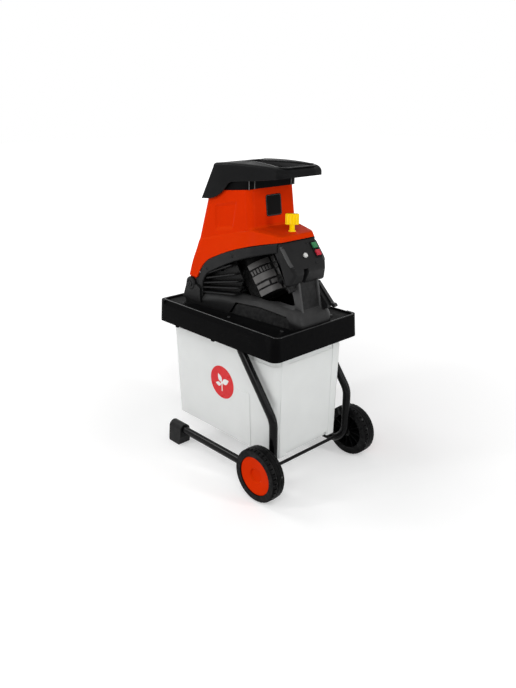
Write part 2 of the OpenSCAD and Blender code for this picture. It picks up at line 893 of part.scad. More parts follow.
// the six outlines of the hopper skin, from the foot to the top of the tower
function hopper_rings(i) = let (
        foot = soft(six(-225 + i, 46, 156 - i, 114 - i, 114 - i, 76 - i), six_r(36, 160, 22), 6),
        flare = soft(six(-205 + i, 46, 154 - i, 108 - i, 107 - i, 72 - i), six_r(32, 160, 22), 6),
        neck = soft(six(-191 + i, 50, 152 - i, 103 - i, 101 - i, 69.5 - i), six_r(27, 140, 21), 6),
        crease = soft(six(-185 + i, 52, 150 - i, 100.5 - i, 98 - i, 68 - i), six_r(24, 120, 20), 6),
        base = soft(six(-183 + i, 8, 60 - i, tower_y + 6 - i, tower_y + 5 - i, tower_y + 3 - i),
            six_r(24, 1200, tower_r), 6),
        top = soft(six(-128 + i, 0, 49 - i, tower_y + 0.4 - i, tower_y + 1 - i, tower_y - i),
            six_r(24, 1200, tower_r), 6))
    [[for (q = foot) [q[0], q[1], foot_level(q[0]) - i]],
     [for (q = flare) [q[0], q[1], flare_level(q[0], 0.5) - i]],
     [for (q = neck) [q[0], q[1], flare_level(q[0], 0.8) - i]],
     [for (q = crease) [q[0], q[1], crease_level(q[0]) - i]],
     [for (q = base) [q[0], q[1], 250.7 + 0.2605 * q[0] - i]],
     [for (q = top) [q[0], q[1], tower_z1 + i]]];

// closed skin through a list of outlines with the same number of points;
// a curved end is closed by strips from each point to its mirror image
module loft(rings, curved_top = false, curved_foot = false) {
    n = len(rings[0]);
    m = len(rings);
    t = (m - 1) * n;
    side = [for (k = [0 : m - 2], i = [0 : n - 1]) let (j = (i + 1) % n)
        each [[k * n + i, k * n + n + i, k * n + n + j], [k * n + i, k * n + n + j, k * n + j]]];
    top = curved_top
        ? [for (k = [0 : n / 2 - 2]) [t + n - 1 - k, t + n - 2 - k, t + k + 1, t + k]]
        : [[for (i = [n - 1 : -1 : 0]) t + i]];
    foot = curved_foot
        ? [for (k = [0 : n / 2 - 2]) [k, k + 1, n - 2 - k, n - 1 - k]]
        : [[for (i = [0 : n - 1]) i]];
    polyhedron([for (r = rings) each r], concat(foot, side, top));
}

// orange hopper: tower, flared foot, deck, chamber roof with throat, hinge ears
module hopper() {
    color(orange)
        difference() {
            union() {
                on_head() {
                    difference() {
                        loft(hopper_rings(0));
                        loft(hopper_rings(hopper_wall));
                        // everything under the split line
                        side_prism(-160, 160)
                            polygon(concat([[-260, 20], [-260, rear_edge], [-174, rear_edge]],
                                [for (p = split_pts(160)) if (p[1] > rear_edge + 4)
                                    p + [-split_gap * 0.6, split_gap]],
                                [[158, 239], [260, 240], [260, 20]]));
                    }
                    translate([knob_x, 0, deck_z - 10]) cylinder(h = 12.5, r = 12);
                    both_sides() hinge_ear();
                }
                // chamber roof round the throat
                intersection() {
                    on_disc() {
                        translate([0, 0, 9]) cylinder(h = 5, r = pan_r - 2);
                        translate([0, -side_y, 9]) cube([pan_r - 2, 2 * side_y, 5]);
                    }
                    on_head() loft(hopper_rings(1));
                }
            }
            on_disc() translate([0, 0, -80]) cylinder(h = 89, r = pan_r - 1);
            on_disc() translate([-62, -55, 0]) cube([112, 110, 60]);
            on_head() {
                translate([knob_x, 0, deck_z - 40]) cylinder(h = 60, r = stud_r + run_gap);
                // sloping upper edge under the collar
                side_prism(-160, 160)
                    polygon([collar_at(-260, 0), collar_at(160, 0), [160, 460], [-260, 460]]);
                // soft side recess for the grip
                both_sides()
                    translate([0, recess_y, 0])
                        rotate([recess_tilt, 0, 0])
                            side_prism(0, 8) polygon([[-108, 250], [-30, 266], [2, 338], [-100, 318]]);
            }
            on_plate()
                translate([-plate_s / 2 - 0.2, -plate_s / 2 - 0.2, -0.8]) cube([plate_s + 0.4, plate_s + 0.4, 5]);
            // room for the hinge lugs and the hinge screws
            for (side = [-1, 1])
                on_hinge() {
                    translate([0, side * (lug_y0 - 0.4), 0])
                        rotate([-90 * side, 0, 0]) cylinder(h = 40, r = lug_r + 4);
                    translate([0, side * (ear_y0 - 2), 0])
                        rotate([-90 * side, 0, 0]) cylinder(h = 40, r = hinge_pin_r + run_gap);
                }
        }
}

function collar_at(x, lift) = [x, tower_top[1] + (x - tower_top[0]) * tower_slope + lift];

// ear on the inner side of the hinge lug, rooted in the skin
module hinge_ear() {
    side_prism(ear_y0, ear_y1) {
        translate([hinge_x, hinge_h]) circle(r = 14);
        polygon([[hinge_x - 14, hinge_h], [hinge_x + 13, hinge_h], [-182, 91], [-208, 91]]);
    }
    intersection() {
        side_prism(ear_y0, 120) polygon([[-182, 90], [-182, 112], [-208, 112], [-208, 90]]);
        loft(hopper_rings(0.5));
    }
}

// place on the tower face over the deck, Z out of the face
module on_plate() {
    h = 324.5;
    z0 = 250.7 + 0.2605 * 60;
    run = 60 - 49;
    f = (h - z0) / (tower_z1 - z0);
    translate([60 - run * f, 0, head_z + h])
        rotate([0, 90 - atan(run / (tower_z1 - z0)), 0]) children();
}

module label_plate() {
    color(hood_black)
        on_plate() translate([-plate_s / 2, -plate_s / 2, -0.78]) cube([plate_s, plate_s, 1.4]);
}

module hood_plan(inset) {
    front = [[164.4, 87], [169.9, 57], [173, 28.5], [174, 0]];
    half = concat([[-160 + inset, 104 - inset], [-60, 104 - inset], [164.4 - inset, 87 - inset]],
        [for (i = [1 : 3]) [front[i][0] - inset, front[i][1]]]);
    mirrored = [for (i = [4 : -1 : 0]) [half[i][0], -half[i][1]]];
    polygon(soft(concat(half, mirrored), [12, 300, 28, 0, 0, 0, 0, 0, 28, 300, 12], 8));
}

// levels of the hood: lower edge and crowned top; plan with its rear wall at a given x, inset by i
function hood_low(x) = lookup(x, [[-153, 332], [-114, 335], [-90, 342], [-58, 357], [-42, 371], [-26, 388],
    [-12, 392], [106, 404], [174, 413]]);
function hood_top(x) = lookup(x, [[-96, 437], [-20, 444], [40, 445.5], [110, 444], [150, 441.5], [174, 438]]);
function hood_y(x) = lookup(x, [[-60, 104], [164.4, 87]]);
hood_side = [0.13, 0.18, 0.24, 0.31, 0.38, 0.45, 0.55, 0.66, 0.78];
hood_front = [[169.9, 57], [173, 28.5], [173.8, 9.5]];
function hood_outline(rear, i) = let (
        side = [for (f = hood_side) rear + (164.4 - rear) * f],
        near = concat([for (x = side) [x, i - hood_y(x)]], [[164.4 - i, i - 87]],
            [for (q = hood_front) [q[0] - i, -q[1]]]),
        far = [for (k = [len(near) - 1 : -1 : 0]) [near[k][0], -near[k][1]]],
        flat = [for (x = side) 0],
        half = concat([13 - i], flat, [22 - i, 0, 0, 0]),
        back = [for (k = [len(half) - 1 : -1 : 0]) half[k]])
    soft(concat([[rear + i, i - 104]], near, far, [[rear + i, 104 - i]]), concat(half, back), 6);
function hood_ring(i, drop) = [for (q = hood_outline(-96, i)) [q[0], q[1], hood_top(q[0]) - drop]];

// black feed hood: sloped back, overhanging lip, fan-shaped feed dish, collar and neck
module hood() {
    edge_r = 10;
    color(hood_black)
        on_head()
            difference() {
                union() {
                    difference() {
                        loft(concat([[for (q = hood_outline(-153, 0)) [q[0], q[1], hood_low(q[0])]]],
                            [for (t = [0, 22.5, 45, 67.5, 90])
                                hood_ring(edge_r * (1 - cos(t)), edge_r * (1 - sin(t)))]), true, true);
                        // hollow under the cap
                        intersection() {
                            linear_extrude(500) hood_plan(3);
                            side_prism(-150, 150)
                                polygon([[-170, 320], [-149, 332], [-124, 373], [-90, 428], [40, 436],
                                    [46, 398], [150, 428], [160, 424], [168, 400], [168, 320]]);
                        }
                    }
                    intersection() {
                        collar();
                        side_prism(-150, 150)
                            polygon([[-151, 300], [-151, 332], [-126, 373], [-90, 430], [180, 434], [180, 300]]);
                    }
                }
                feed_dish();
                // throat inside the neck
                intersection() {
                    translate([-117, 3 - neck_y, 300])
                        linear_extrude(180)
                            rounded([[0, 0], [158, 0], [158, 2 * neck_y - 6], [0, 2 * neck_y - 6]],
                                [16, 16, 16, 16]);
                    side_prism(-150, 150)
                        polygon([[-147, 290], [-147, 332], [-122, 373], [-84, 430], [41.5, 437.5], [41.5, 290]]);
                }
            }
}

// fan-shaped feed opening that slopes down into the throat
module feed_dish() {
    intersection() {
        linear_extrude(500)
            rounded([[-20, -24], [142, -70], [158, -50], [158, 50], [142, 70], [-20, 24]],
                [14, 14, 30, 30, 14, 14]);
        side_prism(-120, 120) polygon([[-40, 380], [41, 380], [41, 403], [150, 434], [160, 446], [-40, 446]]);
    }
}

// neck inside the tower and the collar that rests on the tower edge
module collar() {
    translate([-120, -neck_y, 345])
        linear_extrude(95)
            rounded([[0, 0], [164, 0], [164, 2 * neck_y], [0, 2 * neck_y]], [19, 19, 19, 19]);
    intersection() {
        union() {
            translate([-126, -collar_y, 340])
                linear_extrude(75)
                    rounded([[0, 0], [177, 0], [177, 2 * collar_y], [0, 2 * collar_y]], [20, 13, 13, 20]);
            for (x = [12, 28], side = [-1, 1])
                translate([x - 1, side * collar_y - 1, 340]) cube([2, 2, 75]);
        }
        side_prism(-150, 150)
            polygon([collar_at(-260, 0.02), collar_at(160, 0.02), collar_at(160, 34), collar_at(-260, 34)]);
    }
}

module counter_blade() {
    color(steel)
        on_disc() translate([52, -50, 4.5]) cube([16, 100, 4.45]);
}

// yellow wing knob on its stem
module lock_knob() {
    stem_r = 7.5;
    color(yellow)
        on_head()
            translate([knob_x, 0, deck_z + 2.6])
                difference() {
                    union() {
                        cylinder(h = 22, r = stem_r);
                        cylinder(h = 2.5, r = 10.5);
                        rotate([0, 0, 45])
                            translate([0, 0, 20]) {
                                linear_extrude(30)
                                    rounded([[-knob_w / 2, -9], [knob_w / 2, -9],
                                        [knob_w / 2, 9], [-knob_w / 2, 9]], [6, 6, 6, 6]);
                            }
                    }
                    rotate([0, 0, 45])
                        for (side = [-1, 1])
                            translate([0, side * 33, 19]) cylinder(h = 40, r = 26.5);
                    translate([0, 0, -1]) cylinder(h = 16, r = stud_r + run_gap);
                }
}

module lock_stud() {
    color(steel)
        on_head() translate([knob_x, 0, deck_z - 26]) cylinder(h = 43, r = stud_r);
}

module blade_disc() {
    color(steel)
        on_disc()
            difference() {
                union() {
                    translate([0, 0, -disc_t]) cylinder(h = disc_t, r = disc_r);
                    translate([0, 0, -disc_t - 8]) cylinder(h = 9, r = 19);
                    for (a = [0, 90, 180, 270])
                        rotate([0, 0, a + 45])
                            translate([28, -2, -disc_t - 9]) cube([disc_r - 30, 4, 10]);
                }
                translate([0, 0, -40]) cylinder(h = 80, r = shaft_r);
                for (a = [0, 180])
                    rotate([0, 0, a]) {
                        translate([26, 8, -disc_t - 1]) cube([56, 14, 20]);
                        for (x = [38, 70])
                            translate([x, -6, -30]) cylinder(h = 60, r = 3);
                    }
            }
}

// two reversible knives flat on the disc, edges over the chip slots
module blades() {
    color([0.8, 0.81, 0.83])
        on_disc()
            for (a = [0, 180])
                rotate([0, 0, a])
                    difference() {
                        translate([28, 0, 0.02])
                            rotate([90, 0, 90])
                                linear_extrude(52)
                                    polygon([[-18, 0], [10, 0], [13, 3.2], [-21, 3.2]]);
                        for (x = [38, 70])
                            translate([x, -6, -1]) cylinder(h = 10, r = 3.02);
                    }
}

module blade_screws() {
    color(steel)
        on_disc()
            for (a = [0, 180], x = [38, 70])
                rotate([0, 0, a])
                    translate([x, -6, 3.3]) screw(4.8, 0.9, 2.98, 11);
}

module disc_bolt() {
    color(steel)
        on_disc()
            difference() {
                union() {
                    translate([0, 0, 1.02]) cylinder(h = 2, r = 13);
                    translate([0, 0, 3]) cylinder(h = 5, r = 7.5, $fn = 6);
                }
                translate([0, 0, 5]) cylinder(h = 5, r = 3.2);
            }
}

module motor_shaft() {
    color(steel)
        on_disc() {
            translate([0, 0, -120]) cylinder(h = 121, r = shaft_r);
            translate([0, 0, -150]) cylinder(h = 31, r = tail_r);
        }
}

module bearing_upper() {
    color(steel)
        on_disc() ring(shaft_r + run_gap, 20, -38, -24);
}

module bearing_lower() {
    color(steel)
        on_disc() ring(tail_r + run_gap, 15, -150, -139);
}

// motor barrel with raised rings, a slotted vent ring, bearing seats and a side cap
module motor_housing() {
    color(motor_grey)
        on_disc()
            difference() {
                union() {
                    translate([0, 0, motor_end + 6]) cylinder(h = motor_top - motor_end - 6, r = motor_r);
                    translate([0, 0, motor_end]) cylinder(h = 6.5, r1 = motor_r - 8, r2 = motor_r);
                    ring(motor_r - 1, motor_r + 5, -75, -60);
                    ring(motor_r - 1, motor_r + 5, -124, -100);
                    ring(motor_r - 1, motor_r + 3, -144, -133);
                    ring(motor_r - 1, motor_r + 4, -160, -146.5);
                    ring(motor_r - 1, motor_r + 9, motor_top - 5, motor_top + 0.95);
                    rotate([0, 90, 0]) translate([140, 0, motor_r - 6]) cylinder(h = 36, r = 12);
                    for (a = [0 : 30 : 330])
                        rotate([0, 0, a + 15])
                            translate([motor_r - 2, -2, -147]) cube([5, 4, 40]);
                }
                translate([0, 0, motor_end + 6 + 9.5]) cylinder(h = 200, r = motor_r - motor_wall);
                translate([0, 0, -150]) cylinder(h = 20, r = 15.05);
                translate([0, 0, -158]) cylinder(h = 20, r = tail_r + 3);
                for (a = [0 : 11.25 : 359])
                    rotate([0, 0, a])
                        translate([motor_r - 8, -2, -96]) cube([20, 4, 16]);
                // gaps that part the lower rings into pads
                for (a = [25 : 45 : 359])
                    rotate([0, 0, a])
                        translate([motor_r + 0.5, -5, motor_end - 1]) cube([10, 10, 40]);
            }
}

module stator() {
    color([0.35, 0.36, 0.38])
        on_disc() ring(32, motor_r - motor_wall - 0.1, -112, -58);
}

module armature() {
    slots = 12;
    color([0.5, 0.47, 0.45])
        on_disc()
            difference() {
                translate([0, 0, -110]) cylinder(h = 50, r = 31);
                translate([0, 0, -111]) cylinder(h = 60, r = shaft_r);
                for (i = [0 : slots - 1])
                    rotate([0, 0, i * 360 / slots])
                        translate([24, -1.5, -111]) cube([10, 3, 60]);
            }
}

module commutator() {
    color(copper)
        on_disc() ring(tail_r, 17, -134, -120.05);
}

module brushes() {
    color([0.12, 0.12, 0.12])
        on_disc()
            for (a = [0, 180])
                rotate([0, 0, a])
                    translate([17.4, -4, -132]) cube([motor_r - motor_wall - 17.8, 8, 10]);
}

module cooling_fan() {
    color(hood_black)
        on_disc() {
            ring(shaft_r, 13, -56, -41);
            ring(12.5, 44, -56, -54);
            for (a = [0 : 30 : 330])
                rotate([0, 0, a])
                    translate([14, -1, -54.5]) cube([29, 2, 12]);
        }
}

frame_tube_near();
frame_tube_far();
foot_near();
foot_far();
axle();
axle_washers();
axle_caps();
wheel_near();
wheel_far();
hub_cap_near();
hub_cap_far();
tray();
tray_screws();
collection_box();
sticker();
lower_housing();
housing_screws();
hinge_screws();
control_box();
panel_screws();
switch_block();
overload_breaker();
start_button();
stop_button();
reset_button();
power_inlet();
cord_hook();
interlock_switch();
lock_nut();
hopper();
hood();
label_plate();
counter_blade();
lock_knob();
lock_stud();
blade_disc();
blades();
blade_screws();
disc_bolt();
motor_housing();
stator();
armature();
commutator();
brushes();
cooling_fan();
motor_shaft();
bearing_upper();
bearing_lower();
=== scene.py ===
import math
import bpy
import bmesh
from mathutils import Matrix, Vector


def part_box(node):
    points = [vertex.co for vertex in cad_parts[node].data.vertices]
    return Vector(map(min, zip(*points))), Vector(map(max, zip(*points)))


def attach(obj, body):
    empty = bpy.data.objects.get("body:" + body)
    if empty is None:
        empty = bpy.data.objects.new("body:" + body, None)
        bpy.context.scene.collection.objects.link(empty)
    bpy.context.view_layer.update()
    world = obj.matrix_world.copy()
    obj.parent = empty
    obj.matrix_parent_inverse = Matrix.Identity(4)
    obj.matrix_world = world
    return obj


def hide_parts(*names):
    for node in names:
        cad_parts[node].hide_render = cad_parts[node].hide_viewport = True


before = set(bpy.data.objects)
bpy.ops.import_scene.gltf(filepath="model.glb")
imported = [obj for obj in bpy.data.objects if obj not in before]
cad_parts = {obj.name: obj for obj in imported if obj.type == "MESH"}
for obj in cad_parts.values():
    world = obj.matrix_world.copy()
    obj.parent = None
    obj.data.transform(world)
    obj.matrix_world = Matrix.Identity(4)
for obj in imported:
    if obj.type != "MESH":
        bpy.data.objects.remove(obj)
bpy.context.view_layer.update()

MM = 0.001
HEAD_Z = 490.5          # underside of the head
HINGE = Vector((-196.0, 63.5))  # hopper hinge over HEAD_Z
EAR_R, LUG_R = 14.0, 22.0
KNOB_X = 129.0
DISC_TILT = -37.0
SCENE = bpy.context.scene


# materials

def grey(value):
    return (value, value, value)


def feed(nt, node, inputs):
    """Sets the inputs of a node: a socket is linked, a value is written."""
    for key, value in inputs.items():
        if isinstance(value, bpy.types.NodeSocket):
            nt.links.new(value, node.inputs[key])
        else:
            node.inputs[key].default_value = value
    return node


def new_node(nt, kind, inputs=None):
    return feed(nt, nt.nodes.new("ShaderNode" + kind), inputs or {})


def new_material(name):
    mat = bpy.data.materials.new(name)
    mat.use_nodes = True
    return mat, mat.node_tree, mat.node_tree.nodes["Principled BSDF"]


def ramp(nt, fac, stops):
    """Colour ramp with stops (position, grey or RGB)."""
    node = new_node(nt, "ValToRGB", {"Fac": fac})
    elements = node.color_ramp.elements
    while len(elements) < len(stops):
        elements.new(0.5)
    for element, (at, colour) in zip(elements, stops):
        element.position = at
        element.color = (*(colour if isinstance(colour, tuple) else grey(colour)), 1.0)
    return node.outputs["Color"]


def noise(nt, coords, scale, detail=3.0, rough=0.5):
    inputs = {"Vector": coords, "Scale": scale, "Detail": detail, "Roughness": rough}
    return new_node(nt, "TexNoise", inputs).outputs["Fac"]


def stretched(nt, coords, scale):
    return new_node(nt, "Mapping", {"Vector": coords, "Scale": scale}).outputs["Vector"]


def spread(nt, fac, low, high, from_low=0.3, from_high=0.7):
    """Maps a factor onto a range of values."""
    inputs = {"Value": fac, "From Min": from_low, "From Max": from_high, "To Min": low, "To Max": high}
    return new_node(nt, "MapRange", inputs).outputs["Result"]


def mixed(nt, fac, a, b):
    """Blend of two colours, each a tuple or a socket."""
    node = new_node(nt, "Mix")
    node.data_type = "RGBA"
    a, b = ((*c, 1.0) if isinstance(c, tuple) else c for c in (a, b))
    return feed(nt, node, {"Factor": fac, 6: a, 7: b}).outputs[2]


def combined(nt, operation, a, b):
    node = new_node(nt, "Math", {0: a, 1: b})
    node.operation = operation
    return node.outputs[0]


def times(nt, a, b):
    return combined(nt, "MULTIPLY", a, b)


def shade(colour, f):
    return tuple(min(1.0, c * f) for c in colour)


DUST_AND_SHEEN_GREY = (0.47, 0.465, 0.455)
GRAIN_DEPTH = 0.0004
SCATTER_DEPTH = 0.006


def surface(name, colour, rough, vary=0.12, grain=0.2, grain_scale=900.0, wear=0.25, wear_colour=None,
            metallic=0.0, specular=0.5, subsurface=0.0, streak=None, dust=0.0, dust_from=0.4, fade=None):
    """Moulded, painted or machined surface: tone drift, fine grain, scuffs, worn edges, settled dust, and in
    some finishes painted highlights on edges and on faces that look up.
    """
    mat, nt, bsdf = new_material(name)
    coords = new_node(nt, "TexCoord").outputs["Object"]
    geometry = new_node(nt, "NewGeometry")
    drift = noise(nt, coords, 11.0, 4.0)
    tone = ramp(nt, drift, [(0.25, shade(colour, 1 - vary)), (0.5, colour), (0.75, shade(colour, 1 + vary))])
    upward = new_node(nt, "SeparateXYZ", {0: geometry.outputs["Normal"]}).outputs["Z"]
    if fade:
        # painted highlight: a lighter tone where the surface looks up, standing in for light from above
        tone = mixed(nt, ramp(nt, upward, [(0.08, 0.0), (0.5, 1.0)]), tone, fade)
    # scuffs: thin stretched marks, only where a coarse noise allows them
    marks = noise(nt, stretched(nt, coords, (1.0, 1.0, 9.0)), 60.0, 5.0, 0.65)
    patch = noise(nt, coords, 7.0, 2.0)
    scuff = times(nt, ramp(nt, marks, [(0.6, 0.0), (0.72, 1.0)]),
                  ramp(nt, patch, [(0.5, 0.0), (0.68, 0.35)]))
    lighter = wear_colour or tuple(min(1.0, c * 1.5 + 0.05) for c in colour)
    tone = mixed(nt, scuff, tone, lighter)
    # worn edges; where a finish raises them, also a painted highlight on convex edges
    edge = ramp(nt, geometry.outputs["Pointiness"], [(0.515, 0.0), (0.6, wear)])
    edge = times(nt, edge, ramp(nt, noise(nt, coords, 90.0, 3.0), [(0.35, 0.2), (0.65, 1.0)]))
    tone = mixed(nt, edge, tone, lighter)
    # dust on faces that look up; where a finish raises it, it is also a painted highlight that lightens
    # up-facing faces
    dust_and_sheen_mask = ramp(nt, upward, [(dust_from, 0.0), (1.0, dust)])
    dust_and_sheen_mask = times(nt, dust_and_sheen_mask, ramp(nt, noise(nt, coords, 25.0, 6.0, 0.7), [(0.35, 0.1), (0.75, 1.0)]))
    tone = mixed(nt, dust_and_sheen_mask, tone, DUST_AND_SHEEN_GREY)
    smear = noise(nt, coords, 38.0, 6.0, 0.6)
    sheen = spread(nt, smear, max(0.03, rough * 0.8), min(1.0, rough * 1.25))
    relief = noise(nt, stretched(nt, coords, streak) if streak else coords, grain_scale, 2.0)
    bump = new_node(nt, "Bump", {"Strength": grain, "Distance": GRAIN_DEPTH, "Height": relief})
    feed(nt, bsdf, {"Base Color": tone, "Roughness": sheen, "Metallic": metallic,
                    "Specular IOR Level": specular, "Normal": bump.outputs["Normal"]})
    if subsurface:
        feed(nt, bsdf, {"Subsurface Weight": subsurface, "Subsurface Radius": grey(1.0),
                        "Subsurface Scale": SCATTER_DEPTH})
    return mat


def black(colour, **more):
    """Finish of dark moulded plastic, with what differs from the usual."""
    return {**dict(colour=colour, rough=0.42, grain=0.3, wear_colour=grey(0.05)), **more}


def dusty(colour, rough, grain, **more):
    """Finish of the pieces inside, with settled dust."""
    return dict(colour=colour, rough=rough, grain=grain, dust=0.06, **more)


FINISH = {
    "black_plastic": black((0.0042, 0.0042, 0.0045), specular=0.13, wear=0.2, dust=0.015),
    "tray_black": black((0.0022, 0.0022, 0.0024), rough=0.4, specular=0.014, wear=0.2, dust=0.004),
    # wheels: the strong edge lightening is a painted highlight on tread and spoke edges
    "wheel_black": black((0.0022, 0.0022, 0.0024), rough=0.4, grain_scale=500.0, specular=0.035, wear=0.8,
                         wear_colour=grey(0.1), dust=0.01),
    "hood_black": black((0.0046, 0.0047, 0.005), rough=0.44, grain=0.4, specular=0.045, dust=0.01),
    # darker copy of the hood's black: painted shade on the collar under the hood
    "collar_black": black((0.0024, 0.0024, 0.0026), rough=0.44, specular=0.02, wear_colour=grey(0.02)),
    "motor_black": black(grey(0.005), rough=0.45, specular=0.12, dust=0.01),
    "gloss_black": black((0.004, 0.004, 0.0044), rough=0.2, grain=0.05, specular=0.3, wear=0.3,
                         wear_colour=grey(0.08)),
    # plinth: its lighter shoulder is painted highlight, from the dust grey and the lighter top tone on faces
    # that look up
    "housing_black": black((0.0045, 0.0045, 0.0047), specular=0.12, wear=0.4, wear_colour=grey(0.06), dust=0.06,
                           dust_from=0.2, fade=(0.022, 0.022, 0.0224)),
    "dish_black": black((0.02, 0.02, 0.0205), rough=0.4, specular=0.2, wear=0.3, wear_colour=grey(0.08),
                        dust=0.12, dust_from=0.3),
    "pillar_black": black((0.007, 0.007, 0.0072), specular=0.1, wear=0.4, wear_colour=grey(0.06), dust=0.02),
    # pale grey that paints highlights on edge strips and ribs
    "trim_grey": black((0.05, 0.05, 0.0505), rough=0.4, specular=0.14, wear=0.4, wear_colour=grey(0.1),
                       dust=0.02),
    "label_black": black((0.003, 0.0028, 0.0028), rough=0.22, grain=0.04, specular=0.04,
                         wear_colour=grey(0.008)),
    "motor_grey": dict(colour=(0.1, 0.097, 0.095), rough=0.42, grain=0.35, specular=0.25, wear=0.5,
                       wear_colour=(0.16, 0.155, 0.15), dust=0.02),
    "plate_grey": dict(colour=(0.09, 0.088, 0.088), rough=0.3, vary=0.05, grain=0.05, specular=0.2),
    # orange: painted highlight, a more yellow orange on faces that look up
    "orange": dict(colour=(0.63, 0.026, 0.0004), rough=0.36, vary=0.05, grain=0.1, wear=0.12, dust=0.004,
                   specular=0.012, wear_colour=(0.75, 0.09, 0.001), fade=(0.62, 0.034, 0.0004)),
    "box_white": dict(colour=(0.72, 0.735, 0.725), rough=0.42, vary=0.03, grain=0.15, grain_scale=300.0,
                      wear=0.1, wear_colour=(0.8, 0.81, 0.8), subsurface=0.35, specular=0.3),
    "sticker_red": dict(colour=(0.62, 0.018, 0.022), rough=0.3, vary=0.05, grain=0.05, specular=0.15),
    "yellow": dict(colour=(0.95, 0.62, 0.001), rough=0.3, vary=0.05, grain=0.08, specular=0.03,
                   wear_colour=(0.95, 0.8, 0.2)),
    "green": dict(colour=(0.03, 0.2, 0.075), rough=0.35, grain=0.1, specular=0.25),
    "red": dict(colour=(0.5, 0.02, 0.04), rough=0.35, grain=0.1, specular=0.25),
    "white": dict(colour=(0.66, 0.66, 0.64), rough=0.35, vary=0.05, grain=0.1),
    "mark_white": dict(colour=(0.74, 0.74, 0.73), rough=0.35, vary=0.04, grain=0.05, specular=0.2),
    "tube_black": dict(colour=(0.002, 0.002, 0.0023), rough=0.11, grain=0.04, wear=0.08, specular=0.11,
                       dust=0.01),
    "axle_black": dict(colour=(0.003, 0.003, 0.0033), rough=0.3, grain=0.1, wear=0.2, specular=0.07,
                       dust=0.005, wear_colour=grey(0.1)),
    "screw_dark": dict(colour=(0.012, 0.012, 0.0125), rough=0.34, grain=0.15, metallic=0.5, wear=0.3,
                       specular=0.2, wear_colour=grey(0.1)),
    "screw_steel": dusty((0.12, 0.12, 0.122), 0.36, 0.15, metallic=0.8, wear=0.3),
    "blade_steel": dusty(grey(0.5), 0.22, 0.2, metallic=1.0, streak=(1.0, 14.0, 1.0)),
    "machined_steel": dusty((0.42, 0.42, 0.43), 0.3, 0.25, metallic=1.0, streak=(1.0, 8.0, 1.0)),
    "lamination": dusty((0.2, 0.2, 0.21), 0.4, 0.6, metallic=0.8, streak=(0.3, 0.3, 3.0)),
    "copper": dusty((0.6, 0.26, 0.12), 0.3, 0.2, metallic=1.0),
    "carbon": dusty(grey(0.02), 0.6, 0.5),
}
MAT = {name: surface(name, **finish) for name, finish in FINISH.items()}

NODE_MAT = {
    "tube_black": ["frame_tube_near", "frame_tube_far"],
    "black_plastic": ["foot_near", "foot_far", "lower_housing", "control_box"],
    "gloss_black": ["cord_hook"],
    "tray_black": ["tray"],
    "wheel_black": ["wheel_near", "wheel_far"],
    "hood_black": ["hood", "switch_block", "overload_breaker", "interlock_switch", "cooling_fan"],
    "pillar_black": ["power_inlet"],
    "orange": ["hub_cap_near", "hub_cap_far", "hopper"],
    "box_white": ["collection_box"],
    "sticker_red": ["sticker"],
    "label_black": ["label_plate"],
    "yellow": ["lock_knob"],
    "green": ["start_button"],
    "red": ["stop_button"],
    "white": ["reset_button"],
    "motor_black": ["motor_housing"],
    "axle_black": ["axle", "axle_washers", "axle_caps"],
    "screw_dark": ["housing_screws", "hinge_screws", "panel_screws", "tray_screws"],
    "screw_steel": ["lock_nut", "lock_stud", "blade_screws", "disc_bolt"],
    "blade_steel": ["blades", "counter_blade"],
    "machined_steel": ["blade_disc", "motor_shaft", "bearing_upper", "bearing_lower"],
    "lamination": ["stator", "armature"],
    "copper": ["commutator"],
    "carbon": ["brushes"],
}

# rounding of the moulded edges in millimetres; the rest keep a fine break
EDGE = {"tray": 2.2, "collection_box": 1.8, "wheel_near": 0.9, "wheel_far": 0.9, "hub_cap_near": 1.0,
        "hub_cap_far": 1.0, "foot_near": 2.0, "foot_far": 2.0, "start_button": 1.2, "stop_button": 1.2,
        "switch_block": 0.8, "cord_hook": 1.6, "reset_button": 0.6, "sticker": 0.0, "frame_tube_near": 0.0,
        "frame_tube_far": 0.0, "axle": 0.8, "blade_disc": 0.6}
FINE_EDGE = 0.5
EDGE_ANGLE, SHARP_ANGLE = 32.0, 50.0
MERGE = 0.00002


def add_bevel(obj, width, segments=2, angle=EDGE_ANGLE):
    bevel = obj.modifiers.new("bevel", "BEVEL")
    bevel.width = width * MM
    bevel.segments = segments
    bevel.limit_method = "ANGLE"
    bevel.angle_limit = math.radians(angle)
    bevel.use_clamp_overlap = True
    return bevel


def soften(obj, width):
    """Joins the tessellation, breaks the edges and evens the normals."""
    obj.modifiers.new("weld", "WELD").merge_threshold = MERGE
    if width:
        add_bevel(obj, width).miter_outer = "MITER_ARC"
    obj.modifiers.new("even", "WEIGHTED_NORMAL").keep_sharp = True


for slot_name, names in NODE_MAT.items():
    for n in names:
        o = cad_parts[n]
        o.data.materials.clear()
        o.data.materials.append(MAT[slot_name])
        soften(o, EDGE.get(n, FINE_EDGE))


# outlines in millimetres

def angles(first, last, steps):
    """Angles in radians, in even steps between two angles in degrees."""
    return [math.radians(first + (last - first) * k / steps) for k in range(steps + 1)]


def full_turn(steps):
    return angles(0, 360, steps)[:-1]


def polar(radius, angle):
    return Vector((radius * math.cos(angle), radius * math.sin(angle)))


def rotation(degrees, axis):
    return Matrix.Rotation(math.radians(degrees), 4, axis)


